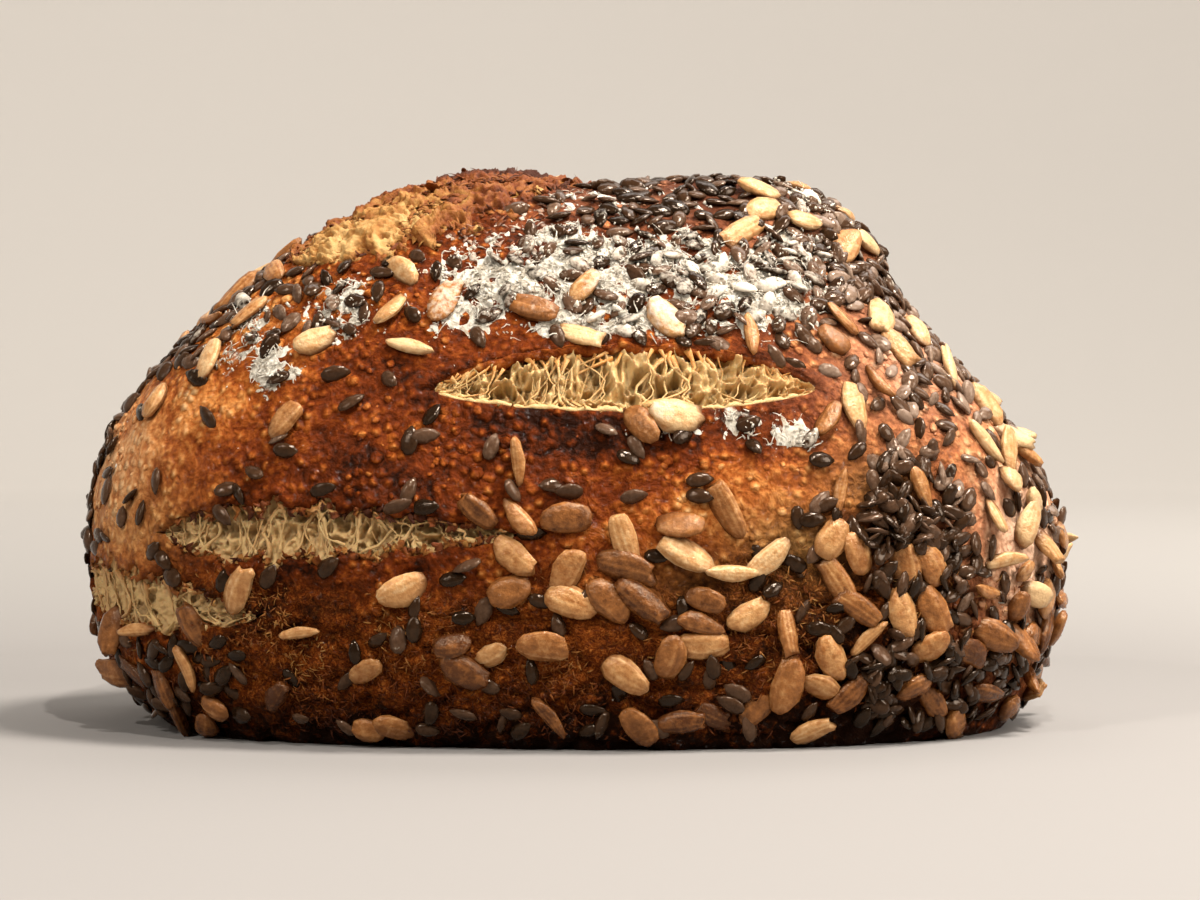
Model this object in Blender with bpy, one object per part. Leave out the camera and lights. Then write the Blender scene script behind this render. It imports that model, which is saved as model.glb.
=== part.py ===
"""A small seeded rye loaf, baked without a tin: a domed oval body that rests flat on z = 0.

Its crown has torn open in a wide bloom, its front has one lens-shaped slash and two side tears that show
the crumb, and sunflower kernels and linseed are baked onto the crust. One piece, so one solid.
Metres, +Z up, the loaf's length along X and its slashed front facing -Y.
"""

import math
from collections import namedtuple

import bmesh
import bpy
import numpy as np
from mathutils import Matrix, Vector, noise

# The dough swelled from its heart. Each reach is the distance from there to the skin.
HEART = np.array([0.0, 0.0, 0.038])
LEFT_REACH = 0.095
RIGHT_REACH = 0.0945
FRONT_REACH = 0.063
BACK_REACH = 0.064
CROWN_REACH = 0.070
# The underside would reach this far down if the hearth had not flattened it, so less gives a rounder foot.
LEFT_FOOT_REACH = 0.051
RIGHT_FOOT_REACH = 0.060
# Powers of the superellipsoid: 2 is an ellipse and more is boxier.
PLAN_POWER = 2.35
LEFT_DOME_POWER = 1.9
RIGHT_DOME_POWER = 1.75
FOOT_POWER = 3.0
SIDE_BLEND = 0.8
SPARE_BELOW = 0.001  # the dough is made this much deeper, and what lies below the hearth is cut away
NORMAL_STEP = 0.0006

# Where the dough swelled or sank: centre, reach and height of each soft bump.
Swelling = namedtuple("Swelling", "centre reach height")
SWELLINGS = (
    Swelling((0.044, -0.006, 0.102), 0.017, 0.0084),
    Swelling((-0.020, 0.016, 0.104), 0.020, 0.0026),
    Swelling((0.020, -0.014, 0.104), 0.020, 0.0020),
    Swelling((0.004, 0.000, 0.107), 0.013, -0.0042),
    Swelling((-0.070, 0.000, 0.080), 0.024, -0.0025),
    Swelling((0.096, -0.010, 0.034), 0.020, 0.0026),
    Swelling((0.078, 0.000, 0.072), 0.020, -0.0040),
    Swelling((-0.092, 0.000, 0.050), 0.020, 0.0005),
    Swelling((0.036, -0.060, 0.033), 0.011, -0.0018),
    Swelling((-0.014, -0.006, 0.104), 0.016, 0.0010),
    Swelling((-0.036, -0.014, 0.096), 0.016, 0.0012),
    Swelling((0.058, -0.006, 0.094), 0.010, 0.0030),
)

# An opening follows three points on the skin. upper and lower are its half-widths above and below it,
# skew makes its start end wider, and undercut slides its floor up under the upper edge.
Opening = namedtuple("Opening", "start middle end upper lower depth undercut skew ragged")
BLOOM = Opening(
    (-0.052, -0.021, 0.089), (-0.026, -0.013, 0.101), (0.005, -0.005, 0.106),
    upper=0.016, lower=0.019, depth=0.0020, undercut=0.0, skew=0.35, ragged=0.12,
)
SLASH = Opening(
    (-0.0245, -0.055, 0.0663), (0.010, -0.056, 0.0670), (0.0460, -0.049, 0.0667),
    upper=0.0088, lower=0.0048, depth=0.0080, undercut=0.0040, skew=-0.10, ragged=0.03,
)
LEFT_TEAR = Opening(
    (-0.076, -0.043, 0.0395), (-0.046, -0.058, 0.0405), (-0.010, -0.063, 0.0400),
    upper=0.0048, lower=0.0056, depth=0.0040, undercut=0.0014, skew=0.40, ragged=0.22,
)
END_TEAR = Opening(
    (-0.094, -0.008, 0.0290), (-0.083, -0.036, 0.0260), (-0.058, -0.053, 0.0245),
    upper=0.0062, lower=0.0056, depth=0.0026, undercut=0.0006, skew=0.30, ragged=0.16,
)
OPENINGS = (BLOOM, SLASH, LEFT_TEAR, END_TEAR)
LENS_POWER = 0.62
LENS_TIP = 0.06
CUTTER_CLEARANCE = 0.005
CUTTER_STEPS_ALONG = 18
CUTTER_STEPS_ACROSS = 6
RIM_DEPTH = 0.015  # how deep the floor starts at the opening's rim, as a share of its full depth
CRAG_SIZE = 0.0045  # breadth of the crumb's crags, and their height as a share of the opening's depth
CRAG_HEIGHT = 0.8

# The crust's edge curls out along these openings: side of the opening, radius, and the stretch of it.
Lip = namedtuple("Lip", "opening side radius first last")
LIPS = (
    Lip(SLASH, 1, 0.0024, -0.90, 0.92),
    Lip(BLOOM, 1, 0.0022, -0.70, 0.60),
)
LIP_OFFSET = 1.08  # where the lip's middle lies, as a share of the opening's half-width
LIP_TIP = 0.15
LIP_STEPS = 12
LIP_SIDES = 5

# Seeds: length, width and thickness, how deep they sit in the crust as a share of their thickness, and the
# place and girth of each ring of points from the blunt end to the tip.
Seed = namedtuple("Seed", "length width thickness sunk rings")
KERNEL = Seed(0.0098, 0.0052, 0.0030, -0.15, ((0.20, 0.78), (0.52, 1.0), (0.82, 0.56)))
LINSEED = Seed(0.0050, 0.0028, 0.0015, -0.10, ((0.28, 0.95), (0.72, 0.80)))
SEED_SIDES = 5
SEED_ROLL = 0.25  # the rings are turned by this share of a side, so no edge points straight up
KERNELS_SOWN, LINSEEDS_SOWN = 190, 1750
KERNELS_BUILT, LINSEEDS_BUILT = 118, 44
KERNEL_GAP, LINSEED_GAP = 0.0058, 0.0024
KERNEL_ROOM = 0.0036  # from the middle of a kernel to the middle of the nearest linseed
KERNEL_SCALES, LINSEED_SCALES = (0.82, 1.12), (0.85, 1.15)
LOWEST_SEED = 0.0035
BARE_RIM = 0.0012  # no seed lies within an opening or nearer than this to its edge
SOWING_SEED = 7
THROWS, SEEDS_A_THROW = 60, 3000

# A drift of seeds: centre, reach, and how thickly the kernels and the linseed lie there.
Drift = namedtuple("Drift", "centre reach kernels linseed")
DRIFTS = (
    Drift((0.033, -0.018, 0.103), 0.024, 0.12, 1.10),
    Drift((0.054, -0.022, 0.088), 0.022, 0.10, 1.10),
    Drift((0.069, -0.030, 0.070), 0.020, 0.10, 0.95),
    Drift((0.082, -0.026, 0.055), 0.016, 0.40, 0.80),
    Drift((0.010, -0.040, 0.088), 0.020, 0.08, 0.75),
    Drift((0.030, -0.042, 0.081), 0.016, 0.08, 0.85),
    Drift((0.062, -0.051, 0.042), 0.011, 0.20, 1.60),
    Drift((0.062, -0.050, 0.022), 0.016, 0.55, 1.10),
    Drift((0.090, -0.022, 0.030), 0.026, 0.80, 0.45),
    Drift((0.068, -0.043, 0.006), 0.018, 0.50, 1.10),
    Drift((0.028, -0.061, 0.024), 0.018, 0.30, 0.25),
    Drift((0.010, -0.058, 0.008), 0.026, 0.30, 0.45),
    Drift((-0.075, -0.038, 0.014), 0.018, 0.55, 0.80),
    Drift((-0.052, -0.050, 0.010), 0.018, 0.15, 0.20),
    Drift((-0.062, -0.018, 0.080), 0.020, 0.45, 0.80),
    Drift((-0.088, 0.000, 0.055), 0.022, 0.20, 0.55),
    Drift((-0.040, -0.042, 0.080), 0.012, 0.10, 0.50),
    Drift((0.010, 0.030, 0.098), 0.034, 0.30, 0.70),
    Drift((0.060, 0.036, 0.070), 0.030, 0.40, 0.60),
    Drift((-0.050, 0.046, 0.060), 0.032, 0.35, 0.45),
    Drift((0.010, 0.063, 0.026), 0.040, 0.55, 0.35),
    Drift((-0.080, 0.034, 0.026), 0.024, 0.60, 0.50),
)
STRAY_KERNELS, STRAY_LINSEED = 0.05, 0.09
# Hardly any other seeds lie near these places.
BARE_SPOTS = (
    ((-0.040, -0.055, 0.060), 0.024), ((0.005, -0.058, 0.055), 0.022), ((-0.078, -0.032, 0.055), 0.022),
    ((0.030, -0.058, 0.048), 0.018), ((-0.035, -0.060, 0.028), 0.022), ((0.076, -0.038, 0.060), 0.008),
    ((0.006, -0.060, 0.020), 0.014), ((0.086, -0.026, 0.034), 0.009), ((0.077, -0.036, 0.043), 0.008),
)
THICKEST = 1.6  # a seed that is thrown where the drift is this thick always stays

# The seeds that the eye goes to first, on the front: x and z in millimetres, and the tip's turn in degrees.
LANDMARK_KERNELS = (
    (-9, 53, -85), (-16, 44, -40), (-9, 43, 130), (0, 43, 0), (20, 42, 172), (29, 44, -62), (10, 39, -72),
    (21, 37, -28), (11, 34, -15), (-10, 36, -40), (0, 34, 60), (8, 28, -45), (14, 28, -40), (25, 28, -20),
    (24, 24, -18), (33, 25, 30), (25, 20, 2), (10, 15, -35), (-21, 20, 10), (-4, 20, -10), (0, 28, -20),
    (-11, 30, 20), (-30, 30, 25), (40, 22, -80), (48, 17, -62), (46, 12, 150), (35, 8, 42), (45, 4, 18),
    (27, 6, -35), (21, 6, 8), (13, 5, -60), (-32, 4, -30), (-37, 4, -10), (-37, 15, 35), (-49, 22, 8),
    (-54, 10, 60), (-66, 7, 5), (-70, 22, -60), (-81, 21, 12), (-88, 20, -80), (-52, 61, 35), (-79, 64, 60),
    (-47, 75, 20), (-33, 81, 58), (-29, 74, -20), (-23, 83, 70), (-6, 81, -22), (2, 76, -20), (18, 79, -50),
    (34, 76, -85), (52, 79, -35), (38, 101, 28), (38, 106, -10), (46, 99, 20), (54, 95, 70), (48, 61, 60),
    (53, 63, -82), (58, 67, -65), (50, 48, 80), (53, 36, -70), (48, 39, 58), (65, 48, -60), (80, 42, -88),
    (87, 40, 70), (86, 57, -5), (89, 54, -8), (79, 56, -30), (68, 78, -60), (67, 25, -62), (61, 25, -70),
    (55, 21, 42), (52, 11, 38), (79, 20, -30), (85, 19, -85), (78, 9, -30), (90, 10, 160), (89, 27, -20),
    (92, 36, -80), (37, 36, 40), (20, 61, 0), (13, 60, -50), (29, 33, 175), (-14, 18, 30), (-19, 15, -30),
)
LANDMARK_LINSEED = (
    (-43, 69, 10), (-33, 68, -50), (-40, 64, 30), (-25, 62, 60), (-29, 57, 80), (-26, 58, 10), (-14, 56, 70),
    (-52, 55, -10), (-58, 51, 150), (-63, 48, 20), (-61, 47, -60), (-64, 43, -40), (-45, 48, 15),
    (-29, 48, 70), (-31, 45, 20), (-26, 45, 0), (-78, 36, 40), (-81, 43, 80), (-85, 42, 70), (-92, 38, 0),
    (-83, 46, 20), (-10, 48, -60), (7, 59, -30), (11, 54, -20), (12, 47, 10), (24, 50, 10), (24, 47, -10),
    (21, 58, 40), (42, 43, -85), (35, 36, -50), (34, 56, -60), (54, 58, -70), (33, 60, 20), (63, 61, -20),
    (59, 58, -50), (-44, 34, 40), (-55, 32, 60), (-31, 21, 90), (-28, 27, 80), (-28, 23, 90), (-21, 32, 10),
    (-19, 25, 0), (-11, 27, -30), (-5, 28, -20),
)

BODY_CELLS = 15  # squares along each edge of the cube that the body's mesh is rounded from
CRUST_COLOUR = (0.34, 0.13, 0.045, 1.0)
CRUST_ROUGHNESS = 0.55
CREASE_ANGLE = math.radians(40.0)


def smoothstep(x):
    x = np.clip(x, 0.0, 1.0)
    return x * x * (3.0 - 2.0 * x)


def skin(directions):
    """The points of the dough's skin that lie along these unit directions from its heart."""
    x, y, z = directions.T
    right = smoothstep(0.5 + SIDE_BLEND * x)
    length = np.where(x < 0, LEFT_REACH, RIGHT_REACH)
    width = np.where(y < 0, FRONT_REACH, BACK_REACH)
    foot = LEFT_FOOT_REACH + (RIGHT_FOOT_REACH - LEFT_FOOT_REACH) * right
    dome = LEFT_DOME_POWER + (RIGHT_DOME_POWER - LEFT_DOME_POWER) * right
    height = np.where(z < 0, foot, CROWN_REACH)
    power = np.where(z < 0, FOOT_POWER, dome)
    flat = (abs(x) / length) ** PLAN_POWER + (abs(y) / width) ** PLAN_POWER
    reach = (flat ** (power / PLAN_POWER) + (abs(z) / height) ** power) ** (-1.0 / power)
    points = HEART + directions * reach[:, None]
    growth = np.zeros(len(points))
    for bump in SWELLINGS:
        away = ((points - bump.centre) ** 2).sum(axis=1) / bump.reach**2
        growth += bump.height * np.exp(-away)
    points = points + directions * growth[:, None]
    points[:, 2] = np.maximum(points[:, 2], -SPARE_BELOW)
    return points


def unit(vectors):
    return vectors / np.linalg.norm(vectors, axis=-1, keepdims=True)


def onto_skin(points):
    return skin(unit(points - HEART))


def outward(points):
    """The skin's normals at these points of it, from two short steps along it."""
    step = NORMAL_STEP
    away = unit(points - HEART)
    side = unit(np.cross(away, (0.31, 0.17, 0.94)))
    other = np.cross(away, side)
    along = onto_skin(points + side * step) - onto_skin(points - side * step)
    across = onto_skin(points + other * step) - onto_skin(points - other * step)
    normals = unit(np.cross(along, across))
    return normals * np.sign((normals * away).sum(axis=1))[:, None]


def lens(opening, s):
    """The opening's width at s from -1 to 1 along it, as a share of its widest."""
    curve = LENS_TIP + (1.0 - LENS_TIP) * (1.0 - s * s) ** LENS_POWER * (1.0 - opening.skew * s)
    torn = np.sin(23.0 * s + 1.3) + 0.7 * np.sin(41.0 * s + 0.4)
    return curve * (1.0 + opening.ragged * torn * (1.0 - s * s))


def across_opening(opening, s, t):
    """The skin's points at s along the opening and t across it, -1 and 1 at its edges, with normals."""
    start, middle, end = (np.array(point) for point in opening[:3])
    s = np.asarray(s, float)
    near, centre, far = s * (s - 1.0) / 2.0, 1.0 - s * s, s * (s + 1.0) / 2.0
    line = near[:, None] * start + centre[:, None] * middle + far[:, None] * end
    run = (s - 0.5)[:, None] * start - (2.0 * s)[:, None] * middle + (s + 0.5)[:, None] * end
    line = onto_skin(line)
    upward = unit(np.cross(outward(line), unit(run)))
    width = np.where(t > 0, opening.upper, opening.lower) * lens(opening, s)
    points = onto_skin(line + upward * (t * width)[:, None])
    return points, outward(points), upward


def mesh_object(name, points, faces, collection=None):
    mesh = bpy.data.meshes.new(name)
    mesh.from_pydata([tuple(map(float, point)) for point in points], [], faces)
    made = bmesh.new()
    made.from_mesh(mesh)
    bmesh.ops.recalc_face_normals(made, faces=made.faces)
    made.to_mesh(mesh)
    made.free()
    item = bpy.data.objects.new(name, mesh)
    (collection or bpy.context.scene.collection).objects.link(item)
    return item


def loaf_body(material):
    """The dough alone: a cube divided into squares, rounded to a sphere and reached out to the skin."""
    shape = bmesh.new()
    bmesh.ops.create_cube(shape, size=2.0)
    bmesh.ops.subdivide_edges(shape, edges=shape.edges[:], cuts=BODY_CELLS - 1, use_grid_fill=True)
    corners = np.array([vertex.co for vertex in shape.verts])
    even = np.tan(corners * math.pi / 4.0)
    spread = unit(even) * (LEFT_REACH, FRONT_REACH, CROWN_REACH)
    for vertex, point in zip(shape.verts, skin(unit(spread))):
        vertex.co = point
    mesh = bpy.data.meshes.new("loaf")
    shape.to_mesh(mesh)
    shape.free()
    mesh.materials.append(material)
    body = bpy.data.objects.new("loaf", mesh)
    bpy.context.scene.collection.objects.link(body)
    return body


def torn_cutter(name, opening):
    """A closed slab that follows the opening: outer side off the skin, inner side the crumb."""
    stations = np.linspace(-1.0, 1.0, CUTTER_STEPS_ALONG)
    widths = np.linspace(-1.0, 1.0, CUTTER_STEPS_ACROSS)
    s, t = (grid.ravel() for grid in np.meshgrid(stations, widths, indexing="ij"))
    points, normals, upward = across_opening(opening, s, t)
    outer = points + normals * CUTTER_CLEARANCE
    crag = CRAG_HEIGHT * np.array([noise.noise(Vector(point) / CRAG_SIZE) for point in points])
    bowl = (1.0 - np.abs(t) ** 4) * (1.0 - s**4) ** 0.5 * (1.0 + crag) + RIM_DEPTH
    inner = points - normals * (opening.depth * bowl)[:, None]
    inner += upward * (opening.undercut * (0.5 + 0.5 * t) * (1.0 - s**4))[:, None]
    count = len(s)
    rows, columns = CUTTER_STEPS_ALONG, CUTTER_STEPS_ACROSS
    faces = []
    for i in range(rows - 1):
        for j in range(columns - 1):
            cell = [i * columns + j, (i + 1) * columns + j, (i + 1) * columns + j + 1, i * columns + j + 1]
            faces += [cell, [count + corner for corner in reversed(cell)]]
    rim = [i * columns for i in range(rows)]
    rim += [(rows - 1) * columns + j for j in range(1, columns)]
    rim += [i * columns + columns - 1 for i in range(rows - 2, -1, -1)]
    rim += [j for j in range(columns - 2, 0, -1)]
    for first, second in zip(rim, rim[1:] + rim[:1]):
        faces.append([first, second, count + second, count + first])
    return mesh_object(name, np.concatenate([outer, inner]), faces)


def hearth_cutter():
    """A slab whose top is the hearth, z = 0: it trims the dough and the seeds to one flat base."""
    slab = bmesh.new()
    bmesh.ops.create_cube(slab, size=1.0)
    thickness = 10.0 * SPARE_BELOW
    bmesh.ops.scale(slab, vec=(4.0 * LEFT_REACH, 4.0 * FRONT_REACH, thickness), verts=slab.verts)
    bmesh.ops.translate(slab, vec=(0.0, 0.0, -thickness / 2.0), verts=slab.verts)
    mesh = bpy.data.meshes.new("hearth_cutter")
    slab.to_mesh(mesh)
    slab.free()
    cutter = bpy.data.objects.new("hearth_cutter", mesh)
    bpy.context.scene.collection.objects.link(cutter)
    return cutter


def curled_lip(name, lip, collection):
    """The crust's edge, curled out along one side of an opening: a tapered tube half sunk in the skin."""
    s = np.linspace(lip.first, lip.last, LIP_STEPS)
    path, normals, upward = across_opening(lip.opening, s, np.full(LIP_STEPS, lip.side * LIP_OFFSET))
    middle = (lip.first + lip.last) / 2.0
    taper = LIP_TIP + (1.0 - LIP_TIP) * np.cos(0.5 * math.pi * (s - middle) / (lip.last - middle))
    points, faces = [path[0]], []
    for k in range(LIP_STEPS):
        for side in range(LIP_SIDES):
            turn = 2.0 * math.pi * side / LIP_SIDES
            spoke = normals[k] * math.cos(turn) + upward[k] * math.sin(turn)
            points.append(path[k] + spoke * lip.radius * taper[k])
    points.append(path[-1])
    last = len(points) - 1
    for side in range(LIP_SIDES):
        following = (side + 1) % LIP_SIDES
        faces.append([0, 1 + side, 1 + following])
        for k in range(LIP_STEPS - 1):
            near, far = 1 + k * LIP_SIDES, 1 + (k + 1) * LIP_SIDES
            faces.append([near + side, far + side, far + following, near + following])
        faces.append([last, last - LIP_SIDES + following, last - LIP_SIDES + side])
    return mesh_object(name, points, faces, collection)


def opened(points):
    """True for the points of the skin that lie within an opening, or on its edge."""
    inside = np.zeros(len(points), bool)
    for opening in OPENINGS:
        s = np.linspace(-1.0, 1.0, 60)
        line, _, upward = across_opening(opening, s, np.zeros(len(s)))
        gap = points[:, None, :] - line[None, :, :]
        nearest = (gap**2).sum(axis=2).argmin(axis=1)
        rise = (gap[np.arange(len(points)), nearest] * upward[nearest]).sum(axis=1)
        away = np.linalg.norm(gap[np.arange(len(points)), nearest], axis=1)
        side = np.where(rise > 0, opening.upper, opening.lower)
        room = side * lens(opening, s[nearest]) + BARE_RIM
        inside |= away < room
    return inside


def sow(kind, count, gap, stray, taken, rooms, draws):
    """Places for seeds on the skin, thick in the drifts, clear of each other and of the taken places."""
    first = filled = len(taken)
    places = np.concatenate([taken, np.zeros((count, 3))])
    rooms = np.concatenate([rooms, np.full(count, gap)])
    for _ in range(THROWS):
        spread = draws.normal(size=(SEEDS_A_THROW, 3)) * (LEFT_REACH, FRONT_REACH, CROWN_REACH)
        points = skin(unit(spread))
        chance = np.full(len(points), stray)
        for drift in DRIFTS:
            away = ((points - drift.centre) ** 2).sum(axis=1) / drift.reach**2
            chance = np.maximum(chance, getattr(drift, kind) * np.exp(-away))
        for centre, reach in BARE_SPOTS:
            chance *= 1.0 - np.exp(-((points - centre) ** 2).sum(axis=1) / reach**2)
        luck = draws.random(len(points))
        keep = (luck * THICKEST < chance) & (points[:, 2] > LOWEST_SEED) & ~opened(points)
        for point in points[keep]:
            if filled == len(places):
                return places[first:]
            if np.all(((places[:filled] - point) ** 2).sum(axis=1) > rooms[:filled] ** 2):
                places[filled] = point
                filled += 1
    return places[first:filled]


def landmarks(marks):
    """The places of these seeds on the front of the skin, and the turn of each."""
    goals = np.array([(x / 1000.0, -0.05, z / 1000.0) for x, z, _ in marks])
    points = onto_skin(goals)
    for _ in range(12):
        points = onto_skin(np.column_stack([goals[:, 0], points[:, 1], goals[:, 2]]))
    return points, np.radians([turn for _, _, turn in marks])


def seed_shape(seed, scale):
    """A flat teardrop, its blunt end at -X and its tip at +X: rings of points between two end points."""
    half = seed.length / 2.0 * scale
    points = [(-half, 0.0, 0.0)]
    for place, girth in seed.rings:
        for side in range(SEED_SIDES):
            turn = 2.0 * math.pi * (side + SEED_ROLL) / SEED_SIDES
            points.append((
                half * (2.0 * place - 1.0),
                seed.width / 2.0 * scale * girth * math.cos(turn),
                seed.thickness / 2.0 * scale * girth * math.sin(turn),
            ))
    points.append((half, 0.0, 0.0))
    last = len(points) - 1
    faces = []
    for side in range(SEED_SIDES):
        following = (side + 1) % SEED_SIDES
        faces.append([0, 1 + following, 1 + side])
        for ring in range(len(seed.rings) - 1):
            near, far = 1 + ring * SEED_SIDES, 1 + (ring + 1) * SEED_SIDES
            faces.append([near + side, near + following, far + following, far + side])
        faces.append([last, last - SEED_SIDES + side, last - SEED_SIDES + following])
    return points, faces


def lay_seeds(name, seed, places, turns, scales, collection):
    """One closed seed at each place, flat on the skin, its tip turned from +X."""
    normals = outward(places)
    for k, (place, normal, turn, scale) in enumerate(zip(places, normals, turns, scales)):
        level = Vector((1.0, 0.0, 0.0))
        up = Vector(normal)
        level = (level - up * level.dot(up)).normalized()
        tip = level * math.cos(turn) + up.cross(level) * math.sin(turn)
        pose = Matrix((tip, up.cross(tip), up)).transposed().to_4x4()
        sunk = seed.thickness * scale * seed.sunk
        pose.translation = Vector(place) - up * sunk
        points, faces = seed_shape(seed, scale)
        posed = [pose @ Vector(point) for point in points]
        mesh_object(f"{name}_{k}", posed, faces, collection)


def all_seeds():
    """Where each kernel and each linseed lies, its turn and its scale: first the landmarks."""
    draws = np.random.default_rng(SOWING_SEED)
    kernels, kernel_turns = landmarks(LANDMARK_KERNELS)
    linseeds, linseed_turns = landmarks(LANDMARK_LINSEED)
    rooms = np.full(len(kernels), KERNEL_GAP)
    sown = sow("kernels", KERNELS_SOWN, KERNEL_GAP, STRAY_KERNELS, kernels, rooms, draws)
    kernels = np.concatenate([kernels, sown])
    taken = np.concatenate([kernels, linseeds])
    rooms = np.repeat((KERNEL_ROOM, LINSEED_GAP), (len(kernels), len(linseeds)))
    sown = sow("linseed", LINSEEDS_SOWN, LINSEED_GAP, STRAY_LINSEED, taken, rooms, draws)
    linseeds = np.concatenate([linseeds, sown])
    kernel_turns = np.concatenate([kernel_turns, draws.uniform(-math.pi, math.pi, KERNELS_SOWN)])
    linseed_turns = np.concatenate([linseed_turns, draws.uniform(-math.pi, math.pi, LINSEEDS_SOWN)])
    kernel_scales = draws.uniform(*KERNEL_SCALES, len(kernel_turns))
    linseed_scales = draws.uniform(*LINSEED_SCALES, len(linseed_turns))
    return (kernels, kernel_turns, kernel_scales), (linseeds, linseed_turns, linseed_scales)


def sown_seeds(collection):
    """The seeds that the solid carries: the landmarks, then the first of those that the rule sows."""
    kernels, linseeds = all_seeds()
    lay_seeds("kernel", KERNEL, *(values[:KERNELS_BUILT] for values in kernels), collection)
    lay_seeds("linseed", LINSEED, *(values[:LINSEEDS_BUILT] for values in linseeds), collection)


def apply_modifiers(item):
    graph = bpy.context.evaluated_depsgraph_get()
    solid = bpy.data.meshes.new_from_object(item.evaluated_get(graph))
    item.modifiers.clear()
    item.data = solid


def crust_material():
    material = bpy.data.materials.new("rye_crust")
    material.use_nodes = True
    surface = material.node_tree.nodes["Principled BSDF"]
    surface.inputs["Base Color"].default_value = CRUST_COLOUR
    surface.inputs["Roughness"].default_value = CRUST_ROUGHNESS
    surface.inputs["Metallic"].default_value = 0.0
    material.diffuse_color = CRUST_COLOUR
    return material


def main():
    for item in list(bpy.data.objects):
        bpy.data.objects.remove(item, do_unlink=True)
    body = loaf_body(crust_material())

    fused = bpy.data.collections.new("fused")
    bpy.context.scene.collection.children.link(fused)
    for k, lip in enumerate(LIPS):
        curled_lip(f"lip_{k}", lip, fused)
    sown_seeds(fused)
    join = body.modifiers.new("toppings", "BOOLEAN")
    join.operation = "UNION"
    join.solver = "MANIFOLD"
    join.operand_type = "COLLECTION"
    join.collection = fused
    cutters = [torn_cutter(f"opening_cutter_{k}", opening) for k, opening in enumerate(OPENINGS)]
    for cutter in [*cutters, hearth_cutter()]:
        cutter.hide_render = True
        cutter.display_type = "WIRE"
        cut = body.modifiers.new(cutter.name, "BOOLEAN")
        cut.operation = "DIFFERENCE"
        cut.solver = "MANIFOLD"
        cut.object = cutter
    bpy.context.view_layer.update()
    apply_modifiers(body)
    for item in list(fused.objects):
        bpy.data.objects.remove(item, do_unlink=True)
    body.data.shade_smooth()
    body.data.set_sharp_from_angle(angle=CREASE_ANGLE)


main()
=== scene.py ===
"""The looks of a small seeded rye loaf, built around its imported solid.

The crust repeats the solid's own skin, openings and seed places, so each piece lies where the solid has it.
Metres, +Z up, the loaf's length along X and its slashed front facing -Y.
"""

import math
from collections import namedtuple

import bpy
import numpy as np
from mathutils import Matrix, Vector


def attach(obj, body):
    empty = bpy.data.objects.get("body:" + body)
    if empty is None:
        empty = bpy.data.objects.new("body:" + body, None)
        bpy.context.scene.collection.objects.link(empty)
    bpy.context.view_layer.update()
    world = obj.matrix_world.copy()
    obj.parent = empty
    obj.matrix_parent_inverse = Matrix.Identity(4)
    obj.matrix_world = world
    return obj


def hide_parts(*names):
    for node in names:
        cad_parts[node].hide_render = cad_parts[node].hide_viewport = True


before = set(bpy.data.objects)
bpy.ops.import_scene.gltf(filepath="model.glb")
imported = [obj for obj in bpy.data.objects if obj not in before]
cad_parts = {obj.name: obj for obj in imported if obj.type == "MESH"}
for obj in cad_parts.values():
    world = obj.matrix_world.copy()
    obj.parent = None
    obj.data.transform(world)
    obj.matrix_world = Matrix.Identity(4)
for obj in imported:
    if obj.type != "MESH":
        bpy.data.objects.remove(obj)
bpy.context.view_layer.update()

# ---- The dough's skin, its openings and its seeds, with the same sizes as the solid's ----

HEART = np.array([0.0, 0.0, 0.038])
LEFT_REACH = 0.095
RIGHT_REACH = 0.0945
FRONT_REACH = 0.063
BACK_REACH = 0.064
CROWN_REACH = 0.070
LEFT_FOOT_REACH = 0.051
RIGHT_FOOT_REACH = 0.060
PLAN_POWER = 2.35
LEFT_DOME_POWER = 1.9
RIGHT_DOME_POWER = 1.75
FOOT_POWER = 3.0
SIDE_BLEND = 0.8
SPARE_BELOW = 0.001
NORMAL_STEP = 0.0006

Swelling = namedtuple("Swelling", "centre reach height")
SWELLINGS = (
    Swelling((0.044, -0.006, 0.102), 0.017, 0.0084),
    Swelling((-0.020, 0.016, 0.104), 0.020, 0.0026),
    Swelling((0.020, -0.014, 0.104), 0.020, 0.0020),
    Swelling((0.004, 0.000, 0.107), 0.013, -0.0042),
    Swelling((-0.070, 0.000, 0.080), 0.024, -0.0025),
    Swelling((0.096, -0.010, 0.034), 0.020, 0.0026),
    Swelling((0.078, 0.000, 0.072), 0.020, -0.0040),
    Swelling((-0.092, 0.000, 0.050), 0.020, 0.0005),
    Swelling((0.036, -0.060, 0.033), 0.011, -0.0018),
    Swelling((-0.014, -0.006, 0.104), 0.016, 0.0010),
    Swelling((-0.036, -0.014, 0.096), 0.016, 0.0012),
    Swelling((0.058, -0.006, 0.094), 0.010, 0.0030),
)

Opening = namedtuple("Opening", "start middle end upper lower depth undercut skew ragged")
BLOOM = Opening(
    (-0.052, -0.021, 0.089), (-0.026, -0.013, 0.101), (0.005, -0.005, 0.106),
    upper=0.016, lower=0.019, depth=0.0020, undercut=0.0, skew=0.35, ragged=0.12,
)
SLASH = Opening(
    (-0.0245, -0.055, 0.0663), (0.010, -0.056, 0.0670), (0.0460, -0.049, 0.0667),
    upper=0.0088, lower=0.0048, depth=0.0080, undercut=0.0040, skew=-0.10, ragged=0.03,
)
LEFT_TEAR = Opening(
    (-0.076, -0.043, 0.0395), (-0.046, -0.058, 0.0405), (-0.010, -0.063, 0.0400),
    upper=0.0048, lower=0.0056, depth=0.0040, undercut=0.0014, skew=0.40, ragged=0.22,
)
END_TEAR = Opening(
    (-0.094, -0.008, 0.0290), (-0.083, -0.036, 0.0260), (-0.058, -0.053, 0.0245),
    upper=0.0062, lower=0.0056, depth=0.0026, undercut=0.0006, skew=0.30, ragged=0.16,
)
OPENINGS = (BLOOM, SLASH, LEFT_TEAR, END_TEAR)
LENS_POWER = 0.62
LENS_TIP = 0.06

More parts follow.
